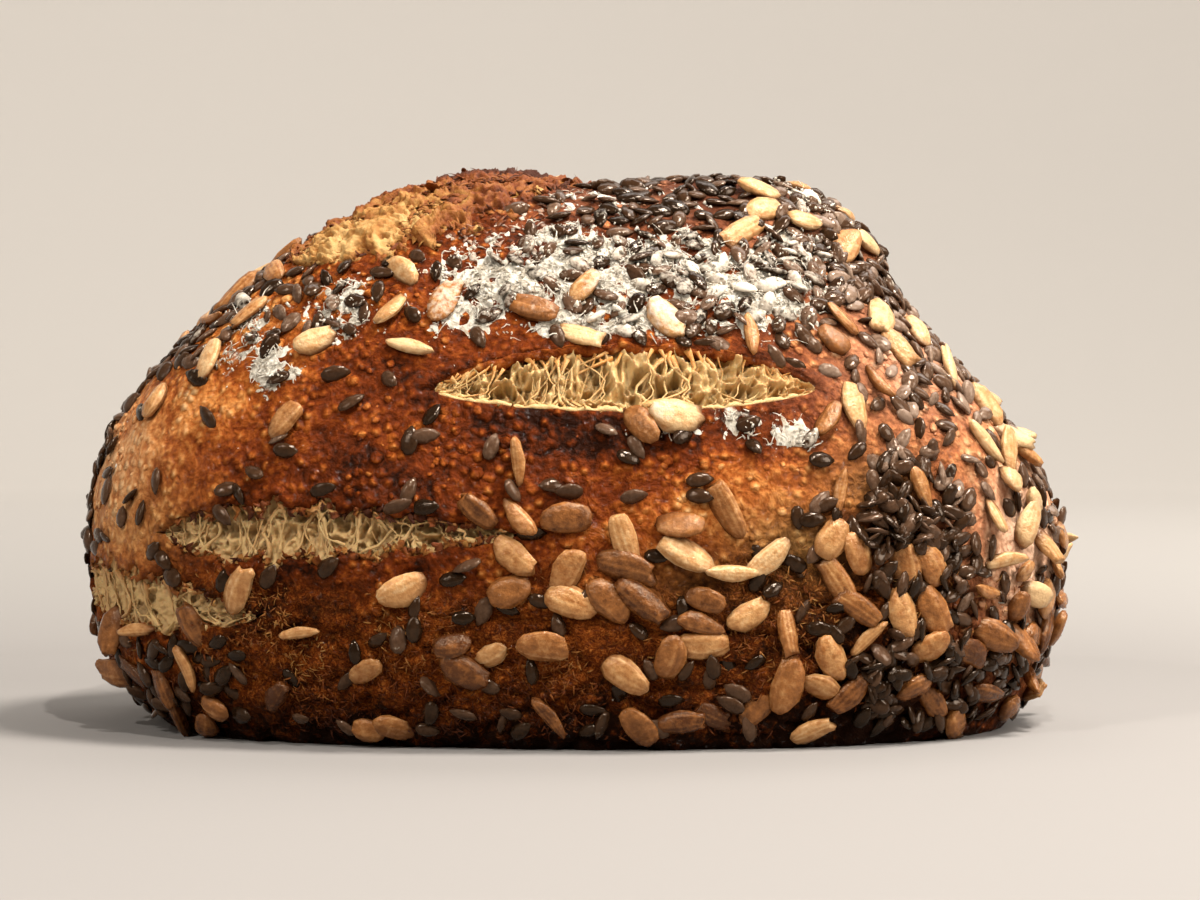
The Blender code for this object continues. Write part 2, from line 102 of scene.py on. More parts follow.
KERNELS_SOWN, LINSEEDS_SOWN = 190, 1750
KERNEL_GAP, LINSEED_GAP = 0.0058, 0.0024
KERNEL_ROOM = 0.0036  # from the middle of a kernel to the middle of the nearest linseed
KERNEL_SCALES, LINSEED_SCALES = (0.82, 1.12), (0.85, 1.15)
LOWEST_SEED = 0.0035
BARE_RIM = 0.0012
SOWING_SEED = 7
THROWS, SEEDS_A_THROW = 60, 3000

Drift = namedtuple("Drift", "centre reach kernels linseed")
DRIFT_ROWS = (  # the centre and the reach in millimetres, then how thickly each kind lies there
    (33, -18, 103, 24, 0.12, 1.10), (54, -22, 88, 22, 0.10, 1.10), (69, -30, 70, 20, 0.10, 0.95),
    (82, -26, 55, 16, 0.40, 0.80), (10, -40, 88, 20, 0.08, 0.75), (30, -42, 81, 16, 0.08, 0.85),
    (62, -51, 42, 11, 0.20, 1.60), (62, -50, 22, 16, 0.55, 1.10), (90, -22, 30, 26, 0.80, 0.45),
    (68, -43, 6, 18, 0.50, 1.10), (28, -61, 24, 18, 0.30, 0.25), (10, -58, 8, 26, 0.30, 0.45),
    (-75, -38, 14, 18, 0.55, 0.80), (-52, -50, 10, 18, 0.15, 0.20), (-62, -18, 80, 20, 0.45, 0.80),
    (-88, 0, 55, 22, 0.20, 0.55), (-40, -42, 80, 12, 0.10, 0.50), (10, 30, 98, 34, 0.30, 0.70),
    (60, 36, 70, 30, 0.40, 0.60), (-50, 46, 60, 32, 0.35, 0.45), (10, 63, 26, 40, 0.55, 0.35),
    (-80, 34, 26, 24, 0.60, 0.50),
)
DRIFTS = [Drift(np.array(row[:3]) / 1000.0, row[3] / 1000.0, *row[4:]) for row in DRIFT_ROWS]
STRAY_KERNELS, STRAY_LINSEED = 0.05, 0.09
BARE_SPOTS = (
    ((-0.040, -0.055, 0.060), 0.024), ((0.005, -0.058, 0.055), 0.022), ((-0.078, -0.032, 0.055), 0.022),
    ((0.030, -0.058, 0.048), 0.018), ((-0.035, -0.060, 0.028), 0.022), ((0.076, -0.038, 0.060), 0.008),
    ((0.006, -0.060, 0.020), 0.014), ((0.086, -0.026, 0.034), 0.009), ((0.077, -0.036, 0.043), 0.008),
)
THICKEST = 1.6

LANDMARK_KERNELS = (
    (-9, 53, -85), (-16, 44, -40), (-9, 43, 130), (0, 43, 0), (20, 42, 172), (29, 44, -62), (10, 39, -72),
    (21, 37, -28), (11, 34, -15), (-10, 36, -40), (0, 34, 60), (8, 28, -45), (14, 28, -40), (25, 28, -20),
    (24, 24, -18), (33, 25, 30), (25, 20, 2), (10, 15, -35), (-21, 20, 10), (-4, 20, -10), (0, 28, -20),
    (-11, 30, 20), (-30, 30, 25), (40, 22, -80), (48, 17, -62), (46, 12, 150), (35, 8, 42), (45, 4, 18),
    (27, 6, -35), (21, 6, 8), (13, 5, -60), (-32, 4, -30), (-37, 4, -10), (-37, 15, 35), (-49, 22, 8),
    (-54, 10, 60), (-66, 7, 5), (-70, 22, -60), (-81, 21, 12), (-88, 20, -80), (-52, 61, 35), (-79, 64, 60),
    (-47, 75, 20), (-33, 81, 58), (-29, 74, -20), (-23, 83, 70), (-6, 81, -22), (2, 76, -20), (18, 79, -50),
    (34, 76, -85), (52, 79, -35), (38, 101, 28), (38, 106, -10), (46, 99, 20), (54, 95, 70), (48, 61, 60),
    (53, 63, -82), (58, 67, -65), (50, 48, 80), (53, 36, -70), (48, 39, 58), (65, 48, -60), (80, 42, -88),
    (87, 40, 70), (86, 57, -5), (89, 54, -8), (79, 56, -30), (68, 78, -60), (67, 25, -62), (61, 25, -70),
    (55, 21, 42), (52, 11, 38), (79, 20, -30), (85, 19, -85), (78, 9, -30), (90, 10, 160), (89, 27, -20),
    (92, 36, -80), (37, 36, 40), (20, 61, 0), (13, 60, -50), (29, 33, 175), (-14, 18, 30), (-19, 15, -30),
)
LANDMARK_LINSEED = (
    (-43, 69, 10), (-33, 68, -50), (-40, 64, 30), (-25, 62, 60), (-29, 57, 80), (-26, 58, 10), (-14, 56, 70),
    (-52, 55, -10), (-58, 51, 150), (-63, 48, 20), (-61, 47, -60), (-64, 43, -40), (-45, 48, 15),
    (-29, 48, 70), (-31, 45, 20), (-26, 45, 0), (-78, 36, 40), (-81, 43, 80), (-85, 42, 70), (-92, 38, 0),
    (-83, 46, 20), (-10, 48, -60), (7, 59, -30), (11, 54, -20), (12, 47, 10), (24, 50, 10), (24, 47, -10),
    (21, 58, 40), (42, 43, -85), (35, 36, -50), (34, 56, -60), (54, 58, -70), (33, 60, 20), (63, 61, -20),
    (59, 58, -50), (-44, 34, 40), (-55, 32, 60), (-31, 21, 90), (-28, 27, 80), (-28, 23, 90), (-21, 32, 10),
    (-19, 25, 0), (-11, 27, -30), (-5, 28, -20),
)


def smoothstep(x):
    x = np.clip(x, 0.0, 1.0)
    return x * x * (3.0 - 2.0 * x)


def unit(vectors):
    return vectors / np.linalg.norm(vectors, axis=-1, keepdims=True)


def skin(directions):
    """The points of the dough's skin that lie along these unit directions from its heart."""
    x, y, z = directions.T
    right = smoothstep(0.5 + SIDE_BLEND * x)
    length = np.where(x < 0, LEFT_REACH, RIGHT_REACH)
    width = np.where(y < 0, FRONT_REACH, BACK_REACH)
    foot = LEFT_FOOT_REACH + (RIGHT_FOOT_REACH - LEFT_FOOT_REACH) * right
    dome = LEFT_DOME_POWER + (RIGHT_DOME_POWER - LEFT_DOME_POWER) * right
    height = np.where(z < 0, foot, CROWN_REACH)
    power = np.where(z < 0, FOOT_POWER, dome)
    flat = (abs(x) / length) ** PLAN_POWER + (abs(y) / width) ** PLAN_POWER
    reach = (flat ** (power / PLAN_POWER) + (abs(z) / height) ** power) ** (-1.0 / power)
    points = HEART + directions * reach[:, None]
    growth = np.zeros(len(points))
    for bump in SWELLINGS:
        away = ((points - bump.centre) ** 2).sum(axis=1) / bump.reach**2
        growth += bump.height * np.exp(-away)
    points = points + directions * growth[:, None]
    points[:, 2] = np.maximum(points[:, 2], -SPARE_BELOW)
    return points


def onto_skin(points):
    return skin(unit(points - HEART))


def thrown(count, draws):
    """So many random points of the skin."""
    return skin(unit(draws.normal(size=(count, 3)) * (LEFT_REACH, FRONT_REACH, CROWN_REACH)))


def outward(points):
    """The skin's normals at these points of it, from two short steps along it."""
    step = NORMAL_STEP
    away = unit(points - HEART)
    side = unit(np.cross(away, (0.31, 0.17, 0.94)))
    other = np.cross(away, side)
    along = onto_skin(points + side * step) - onto_skin(points - side * step)
    across = onto_skin(points + other * step) - onto_skin(points - other * step)
    normals = unit(np.cross(along, across))
    return normals * np.sign((normals * away).sum(axis=1))[:, None]


def lens(opening, s):
    """The opening's width at s from -1 to 1 along it, as a share of its widest."""
    curve = LENS_TIP + (1.0 - LENS_TIP) * (1.0 - s * s) ** LENS_POWER * (1.0 - opening.skew * s)
    torn = np.sin(23.0 * s + 1.3) + 0.7 * np.sin(41.0 * s + 0.4)
    return curve * (1.0 + opening.ragged * torn * (1.0 - s * s))


def spine(opening, s):
    """The opening's middle line on the skin at s from -1 to 1, and the way across it."""
    start, middle, end = (np.array(point) for point in opening[:3])
    s = np.asarray(s, float)
    near, centre, far = s * (s - 1.0) / 2.0, 1.0 - s * s, s * (s + 1.0) / 2.0
    line = near[:, None] * start + centre[:, None] * middle + far[:, None] * end
    run = (s - 0.5)[:, None] * start - (2.0 * s)[:, None] * middle + (s + 0.5)[:, None] * end
    line = onto_skin(line)
    return line, unit(np.cross(outward(line), unit(run)))


def across_opening(opening, s, t):
    """The skin's points at s along the opening and t across it, -1 and 1 at its edges, with normals."""
    line, upward = spine(opening, s)
    width = np.where(t > 0, opening.upper, opening.lower) * lens(opening, np.asarray(s, float))
    points = onto_skin(line + upward * (t * width)[:, None])
    return points, outward(points), upward


def opened(points):
    """True for the points of the skin that lie within an opening, or on its edge."""
    inside = np.zeros(len(points), bool)
    for opening in OPENINGS:
        s = np.linspace(-1.0, 1.0, 60)
        line, upward = spine(opening, s)
        gap = points[:, None, :] - line[None, :, :]
        nearest = (gap**2).sum(axis=2).argmin(axis=1)
        rise = (gap[np.arange(len(points)), nearest] * upward[nearest]).sum(axis=1)
        away = np.linalg.norm(gap[np.arange(len(points)), nearest], axis=1)
        side = np.where(rise > 0, opening.upper, opening.lower)
        room = side * lens(opening, s[nearest]) + BARE_RIM
        inside |= away < room
    return inside


def sow(kind, count, gap, stray, taken, rooms, draws):
    """Places for seeds on the skin, thick in the drifts, clear of each other and of the taken places."""
    first = filled = len(taken)
    places = np.concatenate([taken, np.zeros((count, 3))])
    rooms = np.concatenate([rooms, np.full(count, gap)])
    for _ in range(THROWS):
        points = thrown(SEEDS_A_THROW, draws)
        chance = np.full(len(points), stray)
        for drift in DRIFTS:
            away = ((points - drift.centre) ** 2).sum(axis=1) / drift.reach**2
            chance = np.maximum(chance, getattr(drift, kind) * np.exp(-away))
        for centre, reach in BARE_SPOTS:
            chance *= 1.0 - np.exp(-((points - centre) ** 2).sum(axis=1) / reach**2)
        luck = draws.random(len(points))
        keep = (luck * THICKEST < chance) & (points[:, 2] > LOWEST_SEED) & ~opened(points)
        for point in points[keep]:
            if filled == len(places):
                return places[first:]
            if np.all(((places[:filled] - point) ** 2).sum(axis=1) > rooms[:filled] ** 2):
                places[filled] = point
                filled += 1
    return places[first:filled]


def landmarks(marks):
    """The places of these seeds on the front of the skin, and the turn of each."""
    goals = np.array([(x / 1000.0, -0.05, z / 1000.0) for x, z, _ in marks])
    points = onto_skin(goals)
    for _ in range(12):
        points = onto_skin(np.column_stack([goals[:, 0], points[:, 1], goals[:, 2]]))
    return points, np.radians([turn for _, _, turn in marks])


def all_seeds():
    """Where each kernel and each linseed lies, its turn and its scale: first the landmarks."""
    draws = np.random.default_rng(SOWING_SEED)
    kernels, kernel_turns = landmarks(LANDMARK_KERNELS)
    linseeds, linseed_turns = landmarks(LANDMARK_LINSEED)
    rooms = np.full(len(kernels), KERNEL_GAP)
    sown = sow("kernels", KERNELS_SOWN, KERNEL_GAP, STRAY_KERNELS, kernels, rooms, draws)
    kernels = np.concatenate([kernels, sown])
    taken = np.concatenate([kernels, linseeds])
    rooms = np.repeat((KERNEL_ROOM, LINSEED_GAP), (len(kernels), len(linseeds)))
    sown = sow("linseed", LINSEEDS_SOWN, LINSEED_GAP, STRAY_LINSEED, taken, rooms, draws)
    linseeds = np.concatenate([linseeds, sown])
    kernel_turns = np.concatenate([kernel_turns, draws.uniform(-math.pi, math.pi, KERNELS_SOWN)])
    linseed_turns = np.concatenate([linseed_turns, draws.uniform(-math.pi, math.pi, LINSEEDS_SOWN)])
    kernel_scales = draws.uniform(*KERNEL_SCALES, len(kernel_turns))
    linseed_scales = draws.uniform(*LINSEED_SCALES, len(linseed_turns))
    return (kernels, kernel_turns, kernel_scales), (linseeds, linseed_turns, linseed_scales)


# ---- Noise, all of it seeded by its salt ----


def lattice(ix, iy, iz, salt):
    """A random number from 0 to 1 for each corner of the lattice."""
    mixed = (ix * 374761393 + iy * 668265263 + iz * 1442695041 + salt * 974634777) & 0xFFFFFFFF
    mixed = ((mixed ^ (mixed >> 13)) * 1274126177) & 0xFFFFFFFF
    mixed = ((mixed ^ (mixed >> 15)) * 2246822519) & 0xFFFFFFFF
    return ((mixed ^ (mixed >> 16)) & 0xFFFFFF) / float(0xFFFFFF)


def noise(points, size, salt=0):
    """Smooth noise from -1 to 1, in lumps of this size (one number, or one for each axis)."""
    scaled = points / np.asarray(size)
    corner = np.floor(scaled).astype(np.int64)
    part = scaled - corner
    part = part * part * (3.0 - 2.0 * part)
    total = np.zeros(len(points))
    for dx in (0, 1):
        for dy in (0, 1):
            for dz in (0, 1):
                weight = np.abs(1 - dx - part[:, 0]) * np.abs(1 - dy - part[:, 1])
                weight = weight * np.abs(1 - dz - part[:, 2])
                total += weight * lattice(corner[:, 0] + dx, corner[:, 1] + dy, corner[:, 2] + dz, salt)
    return 2.0 * total - 1.0


def rough_noise(points, size, octaves, salt=0):
    """Noise with finer and weaker noise added, from about -1 to 1."""
    total, strength, reach = np.zeros(len(points)), 1.0, 0.0
    for octave in range(octaves):
        total += strength * noise(points, np.asarray(size) / 2.03**octave, salt + 31 * octave)
        reach += strength
        strength *= 0.55
    return total / reach


def cells(points, size, salt=0):
    """Distances to the nearest and second nearest dot, in cell sizes, and the nearest one's number."""
    scaled = points / np.asarray(size)
    corner = np.floor(scaled).astype(np.int64)
    nearest = np.full(len(points), 9.0)
    second = np.full(len(points), 9.0)
    number = np.zeros(len(points))
    for dx in (-1, 0, 1):
        for dy in (-1, 0, 1):
            for dz in (-1, 0, 1):
                ix, iy, iz = corner[:, 0] + dx, corner[:, 1] + dy, corner[:, 2] + dz
                away = (ix + lattice(ix, iy, iz, salt + 1) - scaled[:, 0]) ** 2
                away += (iy + lattice(ix, iy, iz, salt + 2) - scaled[:, 1]) ** 2
                away += (iz + lattice(ix, iy, iz, salt + 3) - scaled[:, 2]) ** 2
                away = np.sqrt(away)
                closer = away < nearest
                second = np.where(closer, nearest, np.minimum(second, away))
                number = np.where(closer, lattice(ix, iy, iz, salt + 4), number)
                nearest = np.minimum(nearest, away)
    return nearest, second, number


# ---- Where the crust is dark, pale, rough or floured ----

Patch = namedtuple("Patch", "centre reach strength")


def patches(*rows):
    """Patches from rows of the centre and the reach along each axis, in millimetres, and the strength."""
    return [Patch(*(np.array(row[k:k + 3]) / 1000.0 for k in (0, 3)), row[6]) for row in rows]


DARK_PATCHES = patches(
    (-40, -56, 52, 30, 30, 8, 0.20), (6, -58, 59, 34, 30, 6, 0.34), (-30, -50, 70, 20, 30, 10, 0.14),
    (-10, -62, 47, 30, 30, 6, 0.14), (30, -12, 106, 36, 30, 12, 0.40), (-45, -58, 30, 30, 30, 10, 0.12),
    (0, -40, 90, 34, 20, 12, 0.22), (0, 30, 100, 70, 30, 30, 0.20), (58, -50, 20, 26, 30, 24, 0.34),
)
# The pale and pink patches at the right end are partly the crust's own paler, pinker tone and partly painted
# light from the right.
PALE_PATCHES = patches(
    (-86, -20, 52, 18, 30, 22, 0.44), (-70, -36, 62, 18, 30, 12, 0.24), (34, -60, 46, 22, 30, 8, 0.27),
    (62, -45, 56, 14, 30, 12, 0.18), (86, -24, 38, 18, 30, 26, 0.62), (70, -26, 74, 18, 30, 14, 0.30),
    (52, -10, 104, 12, 20, 8, 0.30), (-60, -30, 80, 16, 30, 12, 0.22), (-88, 20, 50, 20, 40, 30, 0.20),
    (86, 30, 50, 20, 40, 30, 0.20),
)
PINK_PATCHES = patches(
    (86, -26, 36, 18, 40, 26, 0.95), (68, -26, 74, 24, 40, 20, 1.00), (48, -10, 98, 20, 40, 12, 0.85),
    (20, -12, 104, 26, 30, 10, 0.80), (-88, -20, 50, 14, 30, 18, 0.25),
)
OLIVE_PATCHES = patches(
    (42, -58, 34, 12, 30, 9, 0.95), (30, -60, 30, 16, 30, 6, 0.60), (56, -50, 48, 10, 30, 7, 0.45),
    (-80, -34, 40, 14, 30, 8, 0.30),
)
FLOUR_PATCHES = patches(
    (-14, -44, 86, 14, 20, 10, 1.15), (2, -40, 89, 18, 20, 10, 1.05), (20, -38, 89, 16, 20, 9, 0.95),
    (10, -48, 79, 26, 20, 4, 0.90), (34, -38, 85, 15, 20, 9, 1.18), (44, -30, 90, 12, 20, 10, 0.80),
    (10, -20, 100, 16, 20, 8, 0.50), (-43, -42, 82, 8, 20, 6, 0.80), (-56, -44, 70, 6, 20, 5, 0.95),
    (-66, -36, 72, 9, 20, 6, 0.55), (-60, -34, 79, 8, 20, 6, 0.62), (18, -58, 60.5, 12, 20, 4, 0.62),
    (30, -56, 61, 6, 20, 4, 0.80), (41, -54, 58, 6, 20, 3, 0.95), (38, -50, 78, 10, 20, 4, 0.70),
    (49, -12, 105, 10, 20, 7, 0.80), (30, 30, 96, 20, 16, 12, 0.70), (-30, 40, 84, 18, 14, 12, 0.60),
)
HEAPS = patches(
    (62, -51, 40, 12, 30, 14, 1.00), (64, -46, 12, 20, 30, 12, 0.80), (52, -20, 92, 16, 30, 14, 0.60),
)
BAKE_LEVEL = 0.54
ROUGH_TOP = 0.036
DARK_BASE_TOP = 0.016


def amount(patches, points):
    total = np.zeros(len(points))
    for patch in patches:
        away = (((points - patch.centre) / patch.reach) ** 2).sum(axis=1)
        total = np.maximum(total, patch.strength * np.exp(-away))
    return total


def fibrous(points):
    """1 where the crust low on the loaf is torn and fibrous, and 0 where it is smooth."""
    wander = 0.008 * noise(points, 0.018, 5)
    low = smoothstep((ROUGH_TOP + wander - points[:, 2]) / 0.010)
    ends = smoothstep((0.078 - np.abs(points[:, 0] + 0.004)) / 0.016)
    return low * (0.35 + 0.65 * ends)


def floured(points):
    """How thick the flour lies: above 0 it covers the crust."""
    lumps = 0.62 * rough_noise(points, 0.0042, 3, 11) + 0.16 * noise(points, 0.0009, 12)
    net = 0.45 - 2.4 * np.abs(rough_noise(points, 0.0032, 2, 13))
    return 1.40 * amount(FLOUR_PATCHES, points) + lumps + 0.60 * net - 0.84


def blisters(points):
    """Small bubbles under the skin of the crust, from 0 to 1, each its own size."""
    warped = points + 0.0004 * noise(points, 0.0012, 40)[:, None]
    nearest, _, number = cells(warped, 0.0036, 50)
    girth = 0.20 + 0.20 * number
    return np.where(number < 0.40, smoothstep(1.15 - nearest / girth), 0.0)


def relief(points):
    """How far the baked crust stands off the dough's smooth skin."""
    rough = fibrous(points)
    height = 0.0007 * rough_noise(points, 0.015, 3, 1) + 0.00026 * noise(points, 0.0045, 2)
    height += (1.0 - rough) * 0.00022 * blisters(points)
    ridges = 1.0 - np.abs(rough_noise(points, (0.0046, 0.0046, 0.0032), 3, 3)) * 3.0
    height += rough * 0.00062 * ridges
    warped = points + 0.002 * noise(points, 0.006, 8)[:, None]
    nearest, second, _ = cells(warped, (0.015, 0.015, 0.008), 9)
    crack = smoothstep(1.0 - (second - nearest) / 0.13)
    height -= rough * 0.0012 * crack
    height += 0.00014 * noise(points, 0.0015, 4)
    return height


# ---- Making meshes from arrays ----


def make_piece(name, slot, points, faces, material, values=None):
    """A smooth piece from an array of points and one of faces, with a named value at each point."""
    points = np.ascontiguousarray(points, np.float32)
    points[:, 2] = np.maximum(points[:, 2], 0.0)
    faces = np.ascontiguousarray(faces, np.int32)
    mesh = bpy.data.meshes.new(name)
    mesh.vertices.add(len(points))
    mesh.vertices.foreach_set("co", points.ravel())
    mesh.loops.add(faces.size)
    mesh.loops.foreach_set("vertex_index", faces.ravel())
    mesh.polygons.add(len(faces))
    mesh.polygons.foreach_set("loop_start", np.arange(0, faces.size, faces.shape[1], dtype=np.int32))
    mesh.update(calc_edges=True)
    mesh.shade_smooth()
    for key, value in (values or {}).items():
        layer = mesh.attributes.new(key, "FLOAT", "POINT")
        layer.data.foreach_set("value", np.ascontiguousarray(value, np.float32))
    mesh.materials.append(material)
    piece = bpy.data.objects.new(name, mesh)
    bpy.context.scene.collection.objects.link(piece)
    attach(piece, "root")
    return piece


def pairs(first, second):
    """Every value of the first row with every value of the second, as two flat arrays."""
    return (grid.ravel() for grid in np.meshgrid(first, second, indexing="ij"))


def ball(count):
    """The points and quads of a ball, rounded out from a cube with this many squares along each edge."""
    first, second = pairs(np.arange(count), np.arange(count))
    ring = ((0, 0), (1, 0), (1, 1), (0, 1))
    quads = []
    for axis in range(3):
        for side in (0, count):
            corners = np.zeros((count * count, 4, 3), np.int64)
            for k, (a, b) in enumerate(ring if side else ring[::-1]):
                corners[:, k, axis] = side
                corners[:, k, (axis + 1) % 3] = first + a
                corners[:, k, (axis + 2) % 3] = second + b
            quads.append(corners)
    edge = count + 1
    keys = np.concatenate(quads) @ np.array([edge**2, edge, 1])
    unique, faces = np.unique(keys, return_inverse=True)
    grid = np.column_stack([unique // edge**2, unique // edge % edge, unique % edge])
    return unit(np.tan((2.0 * grid / count - 1.0) * math.pi / 4.0)), faces.reshape(-1, 4)


def sheet_faces(rows, columns, flip=False):
    """Quads of a grid whose points run row by row."""
    corner = (np.arange(rows - 1)[:, None] * columns + np.arange(columns - 1)[None, :]).ravel()
    quads = np.column_stack([corner, corner + columns, corner + columns + 1, corner + 1])
    return quads[:, ::-1] if flip else quads


def tube_faces(stations, sides):
    """Quads of a closed tube whose points run ring by ring. The number of sides is even."""
    one = []
    for k in range(stations - 1):
        for side in range(sides):
            following = (side + 1) % sides
            near, far = k * sides, (k + 1) * sides
            one.append((near + side, near + following, far + following, far + side))
    last = (stations - 1) * sides
    for k in range(1, sides - 2, 2):
        one.append((0, k + 2, k + 1, k))
        one.append((last, last + k, last + k + 1, last + k + 2))
    return np.array(one)


def ring_turns(sides):
    return 2.0 * math.pi * (np.arange(sides) + 0.5) / sides


def turned(levels, sides):
    """A shape turned about X: its rings stand at these places along X, with these radii."""
    y, z = np.cos(ring_turns(sides)), np.sin(ring_turns(sides))
    rings = [np.column_stack([np.full(sides, x), radius * y, radius * z]) for x, radius in levels]
    return np.concatenate(rings), tube_faces(len(levels), sides)


def repeated(faces, count, size):
    """The faces of this many shapes in one mesh, each shape with as many points as size tells."""
    shift = (np.arange(count) * size)[:, None, None]
    return (faces[None, :, :] + shift).reshape(-1, faces.shape[1])


def copies(shape, faces, poses, centres, scales):
    """The points and faces of one shape set down many times."""
    points = np.einsum("nij,vj->nvi", poses, shape) * scales[:, None, None] + centres[:, None, :]
    return points, repeated(faces, len(centres), len(shape))


def joined(parts):
    """The points and faces of many parts as those of one mesh."""
    shifts = np.cumsum([0] + [len(points) for points, _ in parts])
    points = np.concatenate([points for points, _ in parts])
    return points, np.concatenate([faces + shift for (_, faces), shift in zip(parts, shifts)])


def tubes(paths, radii, sides, across, flatness):
    """Closed tubes along many paths at once, broad along across and as thick as flatness tells."""
    count, stations, _ = paths.shape
    run = unit(np.gradient(paths, axis=1))
    across = across[:, None, :]
    broad = unit(across - run * (across * run).sum(axis=2, keepdims=True))
    thin = np.cross(run, broad)
    turns = ring_turns(sides)[:, None]
    spokes = broad[:, :, None, :] * np.cos(turns) + thin[:, :, None, :] * (flatness * np.sin(turns))
    points = paths[:, :, None, :] + spokes * radii[:, :, None, None]
    return points.reshape(-1, 3), repeated(tube_faces(stations, sides), count, stations * sides)


def uneven(radii, share, draws):
    """These radii, each changed at random by about this share of it."""
    return radii * (1.0 + share * draws.normal(size=radii.shape).clip(-1.5, 1.5))


def curled_tubes(
    draws, starts, along, normals, lengths, lift, curl, width, taper, sides, flatness,
    scale=1.0, shake=0.0, share=0.0,
):
    """Tubes that leave the skin at an angle and curl over.

    lift, curl and width are ranges, the first two in radians, and scale enlarges the width. taper narrows
    the tube at each station, shake moves its stations at random, and share makes its radii uneven.
    """
    count, stations = len(starts), len(taper)
    lift, curl = draws.uniform(*lift, count), draws.uniform(*curl, count)
    angles = lift[:, None] + curl[:, None] * np.linspace(0.0, 1.0, stations)[None, :]
    steps = along[:, None, :] * np.cos(angles)[:, :, None] + normals[:, None, :] * np.sin(angles)[:, :, None]
    steps *= (lengths / (stations - 1))[:, None, None]
    steps[:, 0, :] = 0.0
    paths = starts[:, None, :] + np.cumsum(steps, axis=1)
    if shake:
        paths += shake * draws.normal(size=paths.shape)
    radii = scale * draws.uniform(*width, count)[:, None] * taper[None, :]
    if share:
        radii = uneven(radii, share, draws)
    return tubes(paths, radii, sides, np.cross(normals, along), flatness)


# ---- Materials ----


class Shader:
    """A material's node tree, with short names for the nodes it is made of."""

    def __init__(self, name):
        self.material = bpy.data.materials.new(name)
        self.material.use_nodes = True
        self.tree = self.material.node_tree
        self.surface = self.tree.nodes["Principled BSDF"]
        self.place = self.tree.nodes.new("ShaderNodeTexCoord").outputs["Object"]

    def link(self, source, target):
        if hasattr(source, "is_linked"):
            self.tree.links.new(source, target)
        else:
            target.default_value = source

    def maths(self, operation, first, second=0.0, clamp=False):
        node = self.tree.nodes.new("ShaderNodeMath")
        node.operation = operation
        node.use_clamp = clamp
        self.link(first, node.inputs[0])
        self.link(second, node.inputs[1])
        return node.outputs[0]

    def add(self, first, second):
        return self.maths("ADD", first, second)

    def times(self, first, second):
        return self.maths("MULTIPLY", first, second)

    def value(self, name):
        node = self.tree.nodes.new("ShaderNodeAttribute")
        node.attribute_name = name
        return node.outputs["Fac"]

    def noise(self, size, detail=4.0, roughness=0.55, distortion=0.0):
        """Noise about 0, mostly within 0.25 of it, in lumps of this size."""
        node = self.tree.nodes.new("ShaderNodeTexNoise")
        node.inputs["Scale"].default_value = 1.0 / size
        node.inputs["Detail"].default_value = detail
        node.inputs["Roughness"].default_value = roughness
        node.inputs["Distortion"].default_value = distortion
        self.link(self.place, node.inputs["Vector"])
        return self.add(node.outputs["Fac"], -0.5)

    def dots(self, size):
        node = self.tree.nodes.new("ShaderNodeTexVoronoi")
        node.inputs["Scale"].default_value = 1.0 / size
        self.link(self.place, node.inputs["Vector"])
        return node.outputs["Distance"]

    def varied(self, value, *layers):
        """The value with layers of noise added, each a strength and then a noise."""
        for strength, noise_socket in layers:
            value = self.add(value, self.times(noise_socket, strength))
        return value

    def ramp(self, factor, *stops):
        node = self.tree.nodes.new("ShaderNodeValToRGB")
        elements = node.color_ramp.elements
        while len(elements) < len(stops):
            elements.new(0.5)
        for element, (position, colour) in zip(elements, stops):
            element.position = position
            element.color = (*(colour if isinstance(colour, tuple) else (colour,) * 3), 1.0)
        self.link(factor, node.inputs[0])
        return node.outputs["Color"]

    def mix(self, factor, first, second):
        node = self.tree.nodes.new("ShaderNodeMix")
        node.data_type = "RGBA"
        self.link(factor, node.inputs["Factor"])
        for socket, colour in ((node.inputs["A"], first), (node.inputs["B"], second)):
            self.link((*colour, 1.0) if isinstance(colour, tuple) else colour, socket)
        return node.outputs["Result"]

    def bump(self, height, strength, distance):
        node = self.tree.nodes.new("ShaderNodeBump")
        node.inputs["Strength"].default_value = strength
        node.inputs["Distance"].default_value = distance
        self.link(height, node.inputs["Height"])
        return node.outputs[0]

    def set(self, **sockets):
        for key, value in sockets.items():
            socket = self.surface.inputs[key.replace("_", " ")]
            self.link((*value, 1.0) if isinstance(value, tuple) and len(value) == 3 else value, socket)
        return self.material


FLOUR_WHITE = (0.66, 0.575, 0.455)
MATT = (0.9, 0.9, 0.9)


